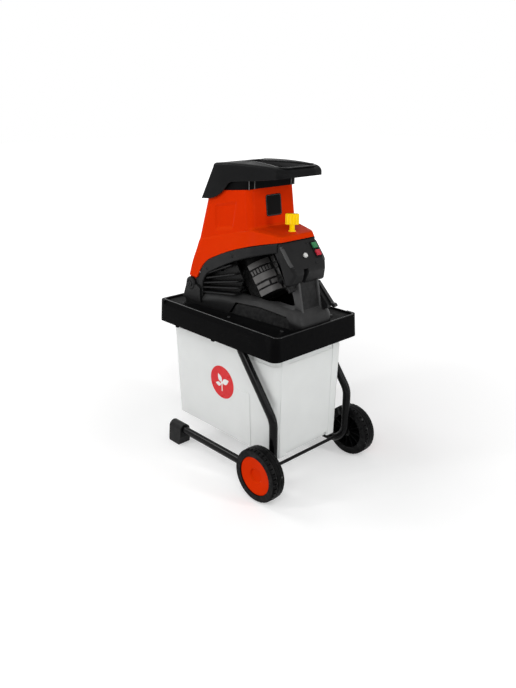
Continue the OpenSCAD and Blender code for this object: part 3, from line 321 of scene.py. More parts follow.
def soft(points, radii, steps):
    """Closed outline with a round of the given radius at each corner."""
    out = []
    count = len(points)
    for i, radius in enumerate(radii):
        p = Vector(points[i])
        a = (Vector(points[i - 1]) - p).normalized()
        b = (Vector(points[(i + 1) % count]) - p).normalized()
        half = math.acos(max(-1.0, min(1.0, a.dot(b)))) / 2
        start, end = p + a * (radius / math.tan(half)), p + b * (radius / math.tan(half))
        centre = p + (a + b).normalized() * (radius / math.sin(half))
        u, v = start - centre, end - centre
        sweep = math.atan2(u.x * v.y - u.y * v.x, u.dot(v))
        first = math.atan2(u.y, u.x)
        for k in range(steps + 1):
            out.append(centre + polar(radius, first + sweep * k / steps))
    return out


def arc3(a, b, c, steps):
    """Points on the circle through three points."""
    a, b, c = Vector(a), Vector(b), Vector(c)
    u, v = b - a, c - a
    d = 2 * (u.x * v.y - u.y * v.x)
    m = a + Vector((v.y * u.dot(u) - u.y * v.dot(v), u.x * v.dot(v) - v.x * u.dot(u))) / d
    p, q = a - m, c - m
    sweep = math.atan2(p.x * q.y - p.y * q.x, p.dot(q))
    first = math.atan2(p.y, p.x)
    return [m + polar(p.length, first + sweep * k / steps) for k in range(steps + 1)]


def at_x(points, x):
    """Height of a curve, given by points in rising x."""
    if x <= points[0][0]:
        return points[0][1]
    for (x0, z0), (x1, z1) in zip(points, points[1:]):
        if x <= x1:
            return z0 + (z1 - z0) * (x - x0) / (x1 - x0)
    return points[-1][1]


def even_steps(points, count, closed=False):
    """count points at even distances along a line."""
    points = list(points) + ([points[0]] if closed else [])
    run = [0.0]
    for p, q in zip(points, points[1:]):
        run.append(run[-1] + (q - p).length)
    out, k = [], 0
    for i in range(count):
        want = run[-1] * i / (count if closed else count - 1)
        while k < len(points) - 2 and run[k + 1] < want:
            k += 1
        step = run[k + 1] - run[k]
        out.append(points[k].lerp(points[k + 1], (want - run[k]) / step if step else 0.0))
    return out


def tangents(loop):
    return [(loop[(i + 1) % len(loop)] - loop[i - 1]).normalized() for i in range(len(loop))]


def inset(loop, depth):
    """Closed plan outline, counter-clockwise, moved inwards by one depth or one for each point."""
    depths = depth if isinstance(depth, list) else [depth] * len(loop)
    return [p + Vector((-t.y, t.x)) * d for p, t, d in zip(loop, tangents(loop), depths)]


def filled(points, radii, fill, steps=8):
    """Outline with rounded corners and extra points along its sides."""
    loop = soft(points, radii, steps)
    out = []
    for i, extra in enumerate(fill):
        arc = loop[i * (steps + 1):(i + 1) * (steps + 1)]
        after = loop[((i + 1) * (steps + 1)) % len(loop)]
        out += arc + [arc[-1].lerp(after, k / (extra + 1)) for k in range(1, extra + 1)]
    return out


def mirrored_rows(points):
    """Points with their mirror images in Y, in one run round the outline."""
    return [Vector(p) for p in points] + [Vector((x, -y)) for x, y in reversed(points)]


def scaled(points, centre, factor):
    return [centre + (p - centre) * factor for p in points]


def smooth_step(low, high, x):
    t = max(0.0, min(1.0, (x - low) / (high - low)))
    return t * t * (3 - 2 * t)


# meshes

def placed(name, data):
    """New object in the scene."""
    obj = bpy.data.objects.new(name, data)
    SCENE.collection.objects.link(obj)
    return obj


def new_mesh(name, verts, faces, tool=False):
    """Mesh from millimetres with its normals turned outwards; a tool stays unwelded and flat."""
    mesh = bpy.data.meshes.new(name)
    mesh.from_pydata([tuple(c * MM for c in v) for v in verts], [], faces)
    bm = bmesh.new()
    bm.from_mesh(mesh)
    if not tool:
        bmesh.ops.remove_doubles(bm, verts=bm.verts, dist=MERGE)
    bmesh.ops.recalc_face_normals(bm, faces=bm.faces)
    for face in bm.faces:
        face.smooth = not tool
    bm.to_mesh(mesh)
    bm.free()
    return mesh


def piece(name, verts, faces, slot, body="base", replaces=(), bevel=0.0, segments=2, angle=EDGE_ANGLE,
          solid=0.0):
    """Mesh object from millimetres, with its finish, its body and the nodes that it stands for."""
    mesh = new_mesh(name, verts, faces)
    mesh.materials.append(MAT[slot])
    obj = placed(name, mesh)
    if solid:
        shell = obj.modifiers.new("shell", "SOLIDIFY")
        shell.thickness = solid * MM
        shell.offset = -1.0
        shell.use_even_offset = True
    if bevel:
        add_bevel(obj, bevel, segments, angle)
    mesh.set_sharp_from_angle(angle=math.radians(180.0 if bevel else SHARP_ANGLE))
    obj.modifiers.new("even", "WEIGHTED_NORMAL").keep_sharp = True
    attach(obj, body)
    if replaces:
        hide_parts(*replaces)
    return obj


def skin(rows, closed=True):
    """Vertices and quads through rows of points with the same count."""
    n = len(rows[0])
    verts = [v for row in rows for v in row]
    faces = []
    for k in range(len(rows) - 1):
        for i in range(n if closed else n - 1):
            j = (i + 1) % n
            faces.append((k * n + i, k * n + j, k * n + n + j, k * n + n + i))
    return verts, faces


def solid_skin(rows):
    """Skin with both ends closed; new_mesh turns the ends the right way round."""
    verts, faces = skin(rows)
    first = len(verts) - len(rows[0])
    return verts, faces + [tuple(range(len(rows[0]))), tuple(range(first, len(verts)))]


def joined(*parts):
    """One vertex and face list out of several."""
    verts, faces = [], []
    for v, f in parts:
        base = len(verts)
        verts += list(v)
        faces += [tuple(i + base for i in face) for face in f]
    return verts, faces


def prism_y(outline, y0, y1):
    """Outline in the XZ plane, over HEAD_Z, drawn out along Y."""
    return solid_skin([[(x, y, z + HEAD_Z) for x, z in outline] for y in (y0, y1)])


def at_level(points, level):
    """Row of plan points at a height over HEAD_Z, one for all or a function of x."""
    return [(p.x, p.y, HEAD_Z + (level(p.x) if callable(level) else level)) for p in points]


def mirrored(part):
    verts, faces = part
    return [(x, -y, z) for x, y, z in verts], [tuple(reversed(f)) for f in faces]


def spun(profile, steps, place, make=skin):
    """Profile (radius, height) turned about Z, then moved by place."""
    rows = []
    for r, h in profile:
        rows.append([tuple(place @ Vector((*polar(r, a), h))) for a in full_turn(steps)])
    return make(rows)


def bead(path, radius, steps=10):
    """Round bead along a closed path."""
    rows = []
    up = Vector((0, 0, 1))
    for p, t in zip(path, tangents(path)):
        side = t.cross(up).normalized()
        rows.append([tuple(p + (side * math.cos(a) + up * math.sin(a)) * radius) for a in full_turn(steps)])
    return skin(rows + [rows[0]])


# frame of the blade disc, with the motor along its negative Z
DISC = Matrix.Translation((-45.0, 0.0, HEAD_Z + 181.5)) @ rotation(DISC_TILT, "Y")


# hopper: six outlines from the foot to the tower, as columns with rounded folds

SPLIT = arc3((-168, 74), (-148, 122), (-97, 161.5), 12) + arc3((-97, 161.5), (13, 204.5), (150, 238), 24)[1:]
REAR_EDGE = 88.4
WALL = 3.5
TOWER_Y = 92.0
FLANK_ROWS, TOWER_ROWS = 16, 26
# chamber roof in the frame of the disc
ROOF_LOW, ROOF_HIGH = 9.0, 14.0
ROOF_R, ROOF_HALF = 101.0, 96.0
THROAT_LONG, THROAT_WIDE, THROAT_SHIFT = 56.0, 55.0, -6.0
SPLIT_RISE = [p for p in SPLIT if p.y > REAR_EDGE + 1]
HOPPER_EDGE = [(-260, REAR_EDGE), (-165, REAR_EDGE)]
HOPPER_EDGE += [(p.x - 0.4, p.y + 0.7) for p in SPLIT_RISE] + [(158, 239.1), (260, 240.1)]


def foot_level(x):
    return 193 + 0.4 * x - 0.000933 * x * x


def crease_level(x):
    return 246.7 + 0.2605 * x if x < 64 else 271 - 0.119 * x


def flare_level(f):
    return lambda x: foot_level(x) * (1 - f) + crease_level(x) * f


def base_level(x):
    return 250.7 + 0.2605 * x


def collar_level(x):
    return 374.5 + (x - 50) * 0.108


def six_ring(x0, xm, x1, y0, ym, y1, radii, level, fill=(44, 10, 12, 10, 44, 14)):
    """Six-cornered outline with extra points along its sides, at a level that depends on x."""
    corners = mirrored_rows([(x0, -y0), (xm, -ym), (x1, -y1)])
    loop = filled(corners, (*radii, *reversed(radii)), fill)
    return [Vector((p.x, p.y, level(p.x))) for p in loop]


def fold(before, at, after, reach, steps=5):
    """Rounded corner of a column."""
    p = at + (before - at).normalized() * min(reach, 0.48 * (before - at).length)
    q = at + (after - at).normalized() * min(reach, 0.48 * (after - at).length)
    return [p.lerp(at, t).lerp(at.lerp(q, t), t) for t in (k / steps for k in range(steps + 1))]


def inside_depth(outline, x, z):
    """Distance to the nearest side of a convex outline, positive inside."""
    best = 1e9
    for (x0, z0), (x1, z1) in zip(outline, outline[1:] + outline[:1]):
        dx, dz = x1 - x0, z1 - z0
        best = min(best, (dx * (z - z0) - dz * (x - x0)) / math.hypot(dx, dz))
    return best


GRIP = [(-97, 243), (-16, 256), (2, 340), (-99, 318)]
GRIP_DEPTH, GRIP_RAMP = 4.0, 8.0


def make_hopper():
    rings = [six_ring(-231, 46, 156, 114, 114, 76, (22, 300, 22), foot_level),
             six_ring(-210, 46, 154, 108, 107, 72, (22, 300, 22), flare_level(0.5)),
             six_ring(-192, 50, 152, 103, 101, 69.5, (22, 260, 21), flare_level(0.8)),
             six_ring(-185, 52, 150, 100.5, 98, 68, (24, 220, 20), crease_level),
             six_ring(-183, 8, 60, TOWER_Y + 6, TOWER_Y + 5, TOWER_Y + 3, (24, 1200, 22), base_level),
             six_ring(-128, 0, 49, TOWER_Y + 0.4, TOWER_Y + 1, TOWER_Y, (24, 1200, 22), lambda x: 376.0)]
    columns = []
    for foot, flare, neck, crease, base, top in zip(*rings):
        low = [foot + (foot - flare).normalized() * 30]
        low += fold(foot, flare, neck, 40.0) + fold(flare, neck, crease, 40.0)
        ridge = fold(neck, crease, base, 9.0)
        root = fold(crease, base, top, 8.0)
        low.append(ridge[0])
        dense = even_steps(low, 80)
        kept = [dense[-1]]
        for p, q in zip(reversed(dense), reversed(dense[:-1])):
            fp, fq = p.z - at_x(HOPPER_EDGE, p.x), q.z - at_x(HOPPER_EDGE, q.x)
            if fq < 0:
                kept.append(p.lerp(q, fp / (fp - fq)))
                break
            kept.append(q)
        flank = even_steps(list(reversed(kept)), FLANK_ROWS)
        rise = top - root[-1]
        rim = collar_level(top.x + (root[-1].x - top.x) * 0.05)
        high = root[-1] + rise * ((rim - root[-1].z) / rise.z)
        tower = [root[-1].lerp(high, k / TOWER_ROWS) for k in range(1, TOWER_ROWS + 1)]
        columns.append(flank[:-1] + ridge + root + tower)
    rows = []
    for row in zip(*columns):
        moved = []
        for p in row:
            depth = 0.0
            if abs(p.y) > 60:
                depth = GRIP_DEPTH * smooth_step(0.0, GRIP_RAMP, inside_depth(GRIP, p.x, p.z))
            moved.append((p.x, p.y - math.copysign(depth, p.y), p.z + HEAD_Z))
        rows.append(moved)
    piece("hopper_shell", *skin(rows), "orange", "hopper", replaces=("hopper",), solid=WALL, bevel=0.7,
          angle=60.0)
    # boss under the lock knob
    profile = [(17, 253.5), (14, 255.4), (12.6, 256.6), (12, 258.4), (11.2, 258.5), (4.3, 258.5), (4.3, 240)]
    boss = spun(profile, 48, Matrix.Translation((KNOB_X, 0, HEAD_Z)))
    piece("hopper_boss", *boss, "orange", "hopper", bevel=0.4)
    # hinge ears inside the lugs
    ear = [HINGE + polar(EAR_R, t) for t in angles(0, -180, 16)]
    ear += [(-208, 100), (-168, 100), (-168, 89.2), (-182, 89.2)]
    near = prism_y(ear, 97, 108)
    piece("hopper_ears", *joined(near, mirrored(near)), "orange", "hopper", bevel=1.0)
    # roof of the blade chamber round the throat
    outer, throat = [], []
    front = mirrored_rows([(-5, -ROOF_HALF), (98, -ROOF_HALF), (106, -91), (116, -88), (127, -80), (134, -66)])
    for t in full_turn(96):
        c, d = polar(1.0, t)
        if c < 0:
            outer.append((ROOF_R * c, max(-ROOF_HALF, min(ROOF_HALF, ROOF_R * d))))
        else:
            outer.append(tuple(ray_hit(front, Vector((0, 0)), Vector((c, d)))))
        grow = min(THROAT_LONG / max(abs(c), 1e-6), THROAT_WIDE / max(abs(d), 1e-6))
        throat.append((THROAT_SHIFT + grow * c, grow * d))
    edges = ((throat, ROOF_LOW), (outer, ROOF_LOW), (outer, ROOF_HIGH), (throat, ROOF_HIGH), (throat, ROOF_LOW))
    rows = [[tuple(DISC @ Vector((*p, h))) for p in loop] for loop, h in edges]
    piece("chamber_roof", *skin(rows), "orange", "hopper", bevel=0.6)


# hood: ruled side walls with a round shoulder, crowned top and fan-shaped dish

HOOD_LOW = sorted(tuple(p) for p in arc3((173, 413), (106, 404), (-12, 392), 10)
                  + arc3((-26, 388), (-58, 357), (-114, 335), 12) + [(-153, 332)])
HOOD_TOP = arc3((-96, 438.5), (40, 443), (176, 437), 16)
HOOD_BACK = [(-153, 330), (-96, 435), (-90, 440), (200, 440)]
COLLAR_Y = TOWER_Y + 1


def hood_loop(x_rear, rear_r):
    """Plan of the hood, counter-clockwise, with its rear wall at x_rear."""
    corners = mirrored_rows([(x_rear, -104), (-60, -104), (164.4, -87), (171, -45)])
    return filled(corners, (rear_r, 300, 22, 60, 60, 22, 300, rear_r), (8, 18, 3, 8, 3, 18, 8, 18))


def ray_hit(outline, centre, toward):
    """Where the ray from centre to toward meets a closed outline."""
    d = toward - centre
    best = None
    for p, q in zip(outline, outline[1:] + outline[:1]):
        e, w = q - p, p - centre
        across = d.x * e.y - d.y * e.x
        if abs(across) < 1e-9:
            continue
        t, s = (w.x * e.y - w.y * e.x) / across, (w.x * d.y - w.y * d.x) / across
        if t > 0 and -1e-6 <= s <= 1 + 1e-6 and (best is None or t < best):
            best = t
    return centre + d * best


DISH = soft([(-46, -22), (142, -70), (158, -50), (158, 50), (142, 70), (-46, 22)], (13, 14, 30, 30, 14, 13), 8)
THROAT_X = 41.0


def dish_floor(x):
    return 403 + (x - THROAT_X) * 31 / 109 if x > THROAT_X else 352.0


def hood_top(drop=0.0):
    return lambda x: at_x(HOOD_TOP, x) - drop


def hood_round(x):
    """Radius of the round between the hood's side and top."""
    return 10.0 + 9.0 * smooth_step(90, 168, x)


def make_hood():
    low, high = hood_loop(-153, 10), hood_loop(-95, 11)
    bottom = [Vector((p.x, p.y, HEAD_Z + at_x(HOOD_LOW, p.x))) for p in low]
    turn = [hood_round(p.x) for p in high]
    shoulder = [Vector((p.x, p.y, HEAD_Z + at_x(HOOD_TOP, p.x) - r)) for p, r in zip(high, turn)]
    # inner wall, from the ceiling's edge down to the lower rim
    inner_top = inset(high, 3.0)
    ceiling = [(p.x, p.y, q.z - 2) for p, q in zip(inner_top, shoulder)]
    rows = [ceiling]
    for depth, lift in ((3.0, 1.2), (2.2, 0.0), (0.8, 0.0)):
        rows.append([(p.x, p.y, q.z + lift) for p, q in zip(inset(low, depth), bottom)])
    rows += [[tuple(b.lerp(s, 0.012 + 0.988 * k / 10)) for b, s in zip(bottom, shoulder)] for k in range(11)]
    for t in angles(0, 90, 8)[1:]:
        loop = inset(high, [r * (1 - math.cos(t)) for r in turn])
        rows.append([(p.x, p.y, q.z + r * math.sin(t)) for p, q, r in zip(loop, shoulder, turn)])
    crown = [Vector((x, y)) for x, y, z in rows[-1]]
    centre = Vector((70.0, 0.0))
    rim = [ray_hit(DISH, centre, p) for p in crown]
    for k in range(1, 5):
        rows.append(at_level([p.lerp(q, k / 5) for p, q in zip(crown, rim)], hood_top()))
    # raised bead, then the round lip and the wall of the dish
    for grow, drop in ((1.07, -0.2), (1.045, -0.7), (1.02, -1.0), (0.995, -0.7), (0.975, 0.6), (0.965, 4.0)):
        rows.append(at_level(scaled(rim, centre, grow), hood_top(drop)))
    deep = at_level(scaled(rim, centre, 0.93), lambda x: min(at_x(HOOD_TOP, x) - 6, dish_floor(x)))
    # floor of the dish with its edge over the throat
    floor = []
    wall = scaled(rim, centre, 0.945)
    for k in range(15):
        x = THROAT_X + (151 - THROAT_X) * k / 14
        half = max(abs(ray_hit(wall, Vector((x, 0.0)), Vector((x, 1.0))).y), 1.0)
        floor.append([(x, half * (j / 6 - 1), HEAD_Z + dish_floor(x + 1e-6)) for j in range(13)])
    floor.insert(0, [(x, y, HEAD_Z + 352) for x, y, z in floor[0]])
    piece("hood_shell", *skin(rows), "hood_black", "hopper", replaces=("hood",))
    piece("dish_inside", *joined(skin([rows[-1], deep]), skin(floor, closed=False)), "dish_black", "hopper")
    lip = even_steps(scaled(rim, centre, 1.02), 160, closed=True)
    path = [Vector(p) for p in at_level(lip, hood_top(-0.2))]
    piece("dish_rim", *bead(path, 2.0), "gloss_black", "hopper")
    # ceiling under the cap and the collar down to the tower edge
    plan = soft(mirrored_rows([(-126, -COLLAR_Y), (51, -COLLAR_Y)]), (20, 13, 13, 20), 8)
    hub = Vector((-38.0, 0.0))
    collar = [ray_hit(plan, hub, p) for p in inner_top]

    def under_cap(limit):
        return lambda x: min(limit, at_x(HOOD_BACK, x) - 3)

    def over_tower(lift):
        return lambda x: collar_level(x) + lift

    inside = inset(collar, 5.5)
    rows = [ceiling, at_level(collar, under_cap(400)), at_level(collar, over_tower(0.8)),
            at_level(inset(collar, 0.8), over_tower(0.1)), at_level(inside, over_tower(0.1)),
            at_level(inside, 345), at_level(inset(collar, 6.0), under_cap(430))]
    # the collar in the darker copy of the hood's black: painted shade under the hood
    piece("hood_collar", *skin(rows), "collar_black", "hopper")
    # two upright ribs beside each front corner of the collar, in pale grey: a painted highlight on the ribs
    ribs = []
    ring = [(-1.4, 1.0), (-1.4, -0.9), (-0.6, -2.0), (0.6, -2.0), (1.4, -0.9), (1.4, 1.0)]
    for x, y, lean in ((47.2, 3.8 - COLLAR_Y, 45.0), (51.0, 20.5 - COLLAR_Y, 90.0)):
        dx, dy = polar(1.0, math.radians(lean))
        foot = HEAD_Z + collar_level(x)
        for side in (1, -1):
            rows = [[(x + a * dx - b * dy, side * (y + a * dy + b * dx), z) for a, b in ring]
                    for z in (foot + 0.4, foot + 30)]
            ribs.append(skin(rows))
    piece("collar_ribs", *joined(*ribs), "motor_grey", "hopper")


# lower housing: plinth, arches, vents, blade pan, chute, pillar and hinge lugs

def cut(obj, verts, faces):
    """Takes a closed tool away from a piece for good."""
    tool = placed("tool", new_mesh("tool", verts, faces, tool=True))
    later = [m.name for m in obj.modifiers]
    for name in later:
        obj.modifiers[name].show_viewport = False
    boolean = obj.modifiers.new("cut", "BOOLEAN")
    boolean.object = tool
    boolean.solver = "EXACT"
    bpy.context.view_layer.update()
    result = bpy.data.meshes.new_from_object(obj.evaluated_get(bpy.context.evaluated_depsgraph_get()))
    obj.modifiers.remove(boolean)
    for name in later:
        obj.modifiers[name].show_viewport = True
    obj.data = result
    bpy.data.objects.remove(tool)


PLINTH_TOP = [(-243, 30), (-222, 36), (-200, 37), (-150, 42), (-80, 56), (-60, 58), (0, 61.3), (60, 62),
              (130, 58.5), (200, 52), (216, 48), (233, 41)]
PANEL_TOP = [(-31, 0), (-30, 3), (-4, 39), (90, 43.5), (194, 35), (203, 3), (204, 0)]
ARCH_LOW = sorted(tuple(p) for p in arc3((147, 209), (59, 186), (-6, 163), 12)
                  + arc3((-6, 163), (-60, 139), (-108, 115.5), 8)
                  + arc3((-116, 111), (-136, 90), (-146, 46), 8))
ARCH_END = 120.0
ARCH_TIP = 146.0
FINS = [(-113, 112, -14, 152), (-120, 94, 4, 128), (-132, 76, 16, 108), (-140, 60, 18, 88), (-146, 44, 4, 66)]
ARCH_SCREWS = [(0, 182), (-118, 124)]
ARCH_ROUND = 4.5
SCREW_SEAT, SCREW_R = 109.3, 4.6
PAN_SLOPE = 0.7536


def make_plinth():
    corners = mirrored_rows([(-243, -120), (233, -78)])
    loop = even_steps(soft(corners, (26, 34, 34, 26), 12), 260, closed=True)
    panel = [at_x(PANEL_TOP, p.x) for p in loop]
    beside = [abs(t.x) > 0.9 and z > 0 for t, z in zip(tangents(loop), panel)]
    size = [23 + 5 * smooth_step(150, 233, p.x) for p in loop]
    start = [max(at_x(PLINTH_TOP, p.x) - r, z + 1.2) for p, z, r in zip(loop, panel, size)]

    def row(points, heights):
        return [(p.x, p.y, HEAD_Z + z) for p, z in zip(points, heights)]

    def top(points, drop=0.0):
        return at_level(points, lambda x: at_x(PLINTH_TOP, x) - drop)

    def recessed(depth):
        return [q if inside else p for p, q, inside in zip(loop, inset(loop, depth), beside)]

    # side panel with a groove under the shoulder
    deep, groove = recessed(5.5), recessed(11.0)
    rows = [at_level(deep, 0.0), row(deep, [max(0.1, z - 6.0) for z in panel]),
            row(groove, [max(0.15, z - 5.0) for z in panel]), row(groove, [z + 0.2 for z in panel]),
            row(loop, [z + 0.9 for z in panel])]
    for k in range(1, 5):
        rows.append(row(loop, [(z + 0.9) * (1 - k / 4) + s * k / 4 for z, s in zip(panel, start)]))
    # shoulder, which starts at a crisp edge
    first, *turns = angles(48, 90, 9)
    for t in turns:
        run = 1 - math.cos(t) / math.cos(first)
        climb = (math.sin(t) - math.sin(first)) / (1 - math.sin(first))
        ring = inset(loop, [r * run for r in size])
        rows.append(row(ring, [s + (at_x(PLINTH_TOP, q.x) - s) * climb for s, q in zip(start, ring)]))
    # top with the well for the motor
    crown = [Vector((x, y)) for x, y, z in rows[-1]]
    corners = mirrored_rows([(-36, -66), (98, -64), (128, -42), (172, -40)])
    well = soft(corners, (10, 14, 16, 12, 12, 16, 14, 10), 8)
    hub = Vector((66.0, 0.0))
    lip = [ray_hit(well, hub, p) for p in crown]
    rows += [top([p.lerp(q, k / 4) for p, q in zip(crown, lip)]) for k in range(1, 4)]
    for grow, drop in ((1.0, 0.0), (0.985, 0.6), (0.972, 2.5), (0.965, 6.0)):
        rows.append(top(scaled(lip, hub, grow), drop))
    rows.append(at_level(scaled(lip, hub, 0.94), 14.0))
    piece("housing_plinth", *solid_skin(rows), "housing_black", replaces=("lower_housing",))


def arch_half(x):
    """Half width of the housing over the arch."""
    if x < 12:
        return 112.0
    if x > 68:
        return 112 - 0.325 * (x - 40)
    return 112 - 0.325 * (x - 12) ** 2 / 112


def make_arches():
    upper = [Vector(p) for p in ((-180, 30), (-180, 85), (-177, 87.6), (-167, 87.6))]
    upper += [p for p in SPLIT_RISE if p.x < ARCH_TIP] + [Vector((ARCH_TIP, at_x(SPLIT, ARCH_TIP)))]
    lower = [Vector((-147, 30))] + [Vector(p) for p in ARCH_LOW if p[0] < ARCH_TIP]
    lower.append(Vector((ARCH_TIP, at_x(ARCH_LOW, ARCH_TIP))))
    quarter = angles(0, 90, 5)
    r = ARCH_ROUND
    rows = []
    for u, w in zip(even_steps(upper, 90), even_steps(lower, 90)):
        d = (u - w).normalized()
        mid = (u.x + w.x) / 2
        y = arch_half(mid)
        # room for the blade disc between the arches
        inner = min(78.0 + 28.0 * smooth_step(-126, -104, mid) * (1 - smooth_step(24, 50, mid)), y - 6)
        section = [(u, inner)]
        section += [(u - d * r * (1 - math.cos(t)), y - r + r * math.sin(t)) for t in quarter]
        section += [(w + d * r * (1 - math.sin(t)), y - r + r * math.cos(t)) for t in quarter]
        section += [(w, inner)]
        rows.append([(p.x, yy, HEAD_Z + p.y) for p, yy in section])
    far = solid_skin(rows)
    for name, part, side in (("arch_far", far, 1), ("arch_near", mirrored(far), -1)):
        obj = piece(name, *part, "black_plastic")
        outwards = rotation(-90 * side, "X")
        for x, z in ARCH_SCREWS:
            place = Matrix.Translation((x, side * SCREW_SEAT, HEAD_Z + z)) @ outwards
            cut(obj, *spun([(SCREW_R, 0), (SCREW_R, 20)], 32, place, solid_skin))
    # bridge behind the switch housing
    low = [(x, at_x(ARCH_LOW, x)) for x in range(52, int(ARCH_END) + 1, 4)]
    high = [(x, at_x(SPLIT, x)) for x in range(int(ARCH_END), 51, -4)]
    piece("housing_bridge", *prism_y(low + high, -82, 82), "black_plastic", bevel=1.0)


def make_vents():
    section = [(82, -3), (105, -3.2), (108, -2.4), (109.3, -0.6), (109.3, 0.8), (108.2, 2.6), (105, 3.4),
               (82, 3)]
    # along each fin: place, thickness and setback
    steps = ((-8, 1.0, 0.0), (0, 1.0, 0.0), (0.5, 1.0, 0.0), (0.94, 1.0, 0.0), (0.985, 0.8, 2.0),
             (1.0, 0.45, 5.0))
    parts = []
    for x0, z0, x1, z1 in FINS:
        a, b = Vector((x0, z0)), Vector((x1, z1))
        d = (b - a).normalized()
        n = Vector((-d.y, d.x))
        rows = []
        for run, size, back in steps:
            p = a + d * run if run < 0 else a.lerp(b, run)
            rows.append([((p + n * h * size).x, y - (back if y > 90 else 0), HEAD_Z + (p + n * h * size).y)
                         for y, h in section])
        parts.append(solid_skin(rows))
    wall = prism_y([(-10, 50), (14, 108), (-14, 150), (-20, 168), (-112, 128), (-142, 100), (-148, 40)], 79, 83)
    one = joined(*parts, wall)
    piece("vents_far", *one, "black_plastic", bevel=0.5)
    piece("vents_near", *mirrored(one), "black_plastic", bevel=0.5)


def make_pan():
    profile = [(20, -29), (109, -29), (110, -28), (110, 20), (104, 20), (104, -21), (103, -22), (20, -22)]
    ring = spun(profile + [profile[0]], 128, DISC)
    pan = piece("blade_pan", *ring, "black_plastic", bevel=0.6, angle=40.0)
    over = SPLIT + [(260, 250), (260, 420), (-260, 420), (-260, 84), (-182, 84), (-182, 64)]
    cut(pan, *prism_y(over, -160, 160))
    cut(pan, *prism_y([(-128, -1), (-84, -1), (-84, 170), (-128, 170)], -72, 72))

    # walls of the chip chute under the pan
    def box_ring(x0, x1, y):
        return even_steps(mirrored_rows([(x0, -y), (x1, -y)]), 40, closed=True)

    def roof(x):
        return 161.5 + (x + 30) * PAN_SLOPE

    outer, inner = box_ring(-135, -77, 80), box_ring(-128, -84, 72)
    rows = [at_level(outer, 1), at_level(outer, roof), at_level(inner, roof), at_level(inner, -8),
            at_level(outer, 1)]
    piece("chip_chute", *skin(rows), "black_plastic", bevel=0.6)


def make_lugs():
    outline = [(-240, 10), (-150, 10), (-150, 56), (-168, 66)]
    outline += [HINGE + polar(LUG_R, t) for t in angles(-2, 158, 20)] + [(-220, 56), (-228, 38)]
    near = prism_y(outline, 109, 119)
    piece("hinge_lugs", *joined(near, mirrored(near)), "black_plastic", bevel=2.4, segments=3)
    # raised ring round each hinge screw
    place = Matrix.Translation((HINGE.x, 119, HEAD_Z + HINGE.y)) @ rotation(-90, "X")
    ring = spun([(11, -0.5), (11.6, 1.4), (13, 2.2), (16, 2.2), (18.2, 1.2), (19.2, -0.5)], 48, place)
    piece("lug_rings", *joined(ring, mirrored(ring)), "pillar_black")


def make_pillar():
    core = prism_y([(158, 122), (190, 36), (211, 36), (192, 126), (172, 118)], -38, 38)
    edge = prism_y([(166, 118), (193, 36), (217, 36), (198, 128), (190, 122)], 34, 42)
    web = prism_y([(188, 108), (238, 57), (236, 46), (214, 36), (200, 50)], 40, 56)
    piece("housing_pillar", *joined(core, web), "pillar_black", bevel=2.2, segments=3)
    # the ribs on the pillar's sides are pale grey: a painted highlight on its lit edges
    piece("pillar_ribs", *joined(edge, mirrored(edge)), "trim_grey", bevel=2.2, segments=3)


# panel of the control box, from its upper to its lower edge
PANEL_A, PANEL_B = Vector((154, 231)), Vector((203, 170))
PANEL_DOWN = (PANEL_B - PANEL_A).normalized()
PANEL_OUT = Vector((-PANEL_DOWN.y, PANEL_DOWN.x))
CONTROL_HALF, CONTROL_ROUND = 75.0, 9.0
CONTROL = [(ARCH_END - 2, 205), (138, 202), (156, 148), (177, 115), (194, 122), (207, 156), tuple(PANEL_B),
           tuple(PANEL_A), (150, 237), (ARCH_END - 2, 232)]


def make_control():
    outline = even_steps(soft(CONTROL, (2, 8, 30, 8, 14, 10, 4, 3, 2, 2), 6), 160, closed=True)

    def half(x):
        return CONTROL_HALF - 15.0 * smooth_step(188, 216, x)

    rows = []
    r = CONTROL_ROUND
    quarter = angles(0, 90, 6)
    for side, turn in ((-1, quarter), (1, reversed(quarter))):
        for t in turn:
            ring = inset(outline, r * (1 - math.sin(t)))
            rows.append([(p.x, side * (half(q.x) - r + r * math.cos(t)), HEAD_Z + p.y)
                         for p, q in zip(ring, outline)])
    box = piece("switch_housing", *solid_skin(rows), "black_plastic", replaces=("control_box",))
    notch = [(181, -19), (191, -24), (222, -34), (222, -4), (191, -14)]
    cut(box, *solid_skin([[(x, y, HEAD_Z + z) for x, y in notch] for z in (90, 167)]))
    # pale strip on both sides of the panel: a painted highlight along the panel's edge
    strip = []
    section = ((-73.4, -4.6), (-74.7, -2.8), (-71.5, 0.2), (-64.0, 0.45), (-63.2, -1.0), (-70, -4.4))
    for run in (3.0, 20.0, 36.0, 48.0, 55.0, 62.0, 68.0):
        p = PANEL_A + PANEL_DOWN * run
        back = CONTROL_HALF - half(p.x)
        strip.append([(p.x + PANEL_OUT.x * h, y + back, HEAD_Z + p.y + PANEL_OUT.y * h) for y, h in section])
    near = solid_skin(strip)
    piece("panel_edge_highlight", *joined(near, mirrored(near)), "trim_grey", bevel=0.5)


# motor: dark barrel with grey pads and a row of cooling slots

PAD_ROOT = 54.0


def wrapped(w0, w1, r0, r1, a0, a1, steps=10):
    """Block bent round the motor axis, between two angles in degrees."""
    rows = []
    for a in angles(a0, a1, steps):
        rows.append([tuple(DISC @ Vector((*polar(r, a), w)))
                     for r, w in ((r0, w0), (r1, w0), (r1, w1), (r0, w1))])
    return solid_skin(rows)


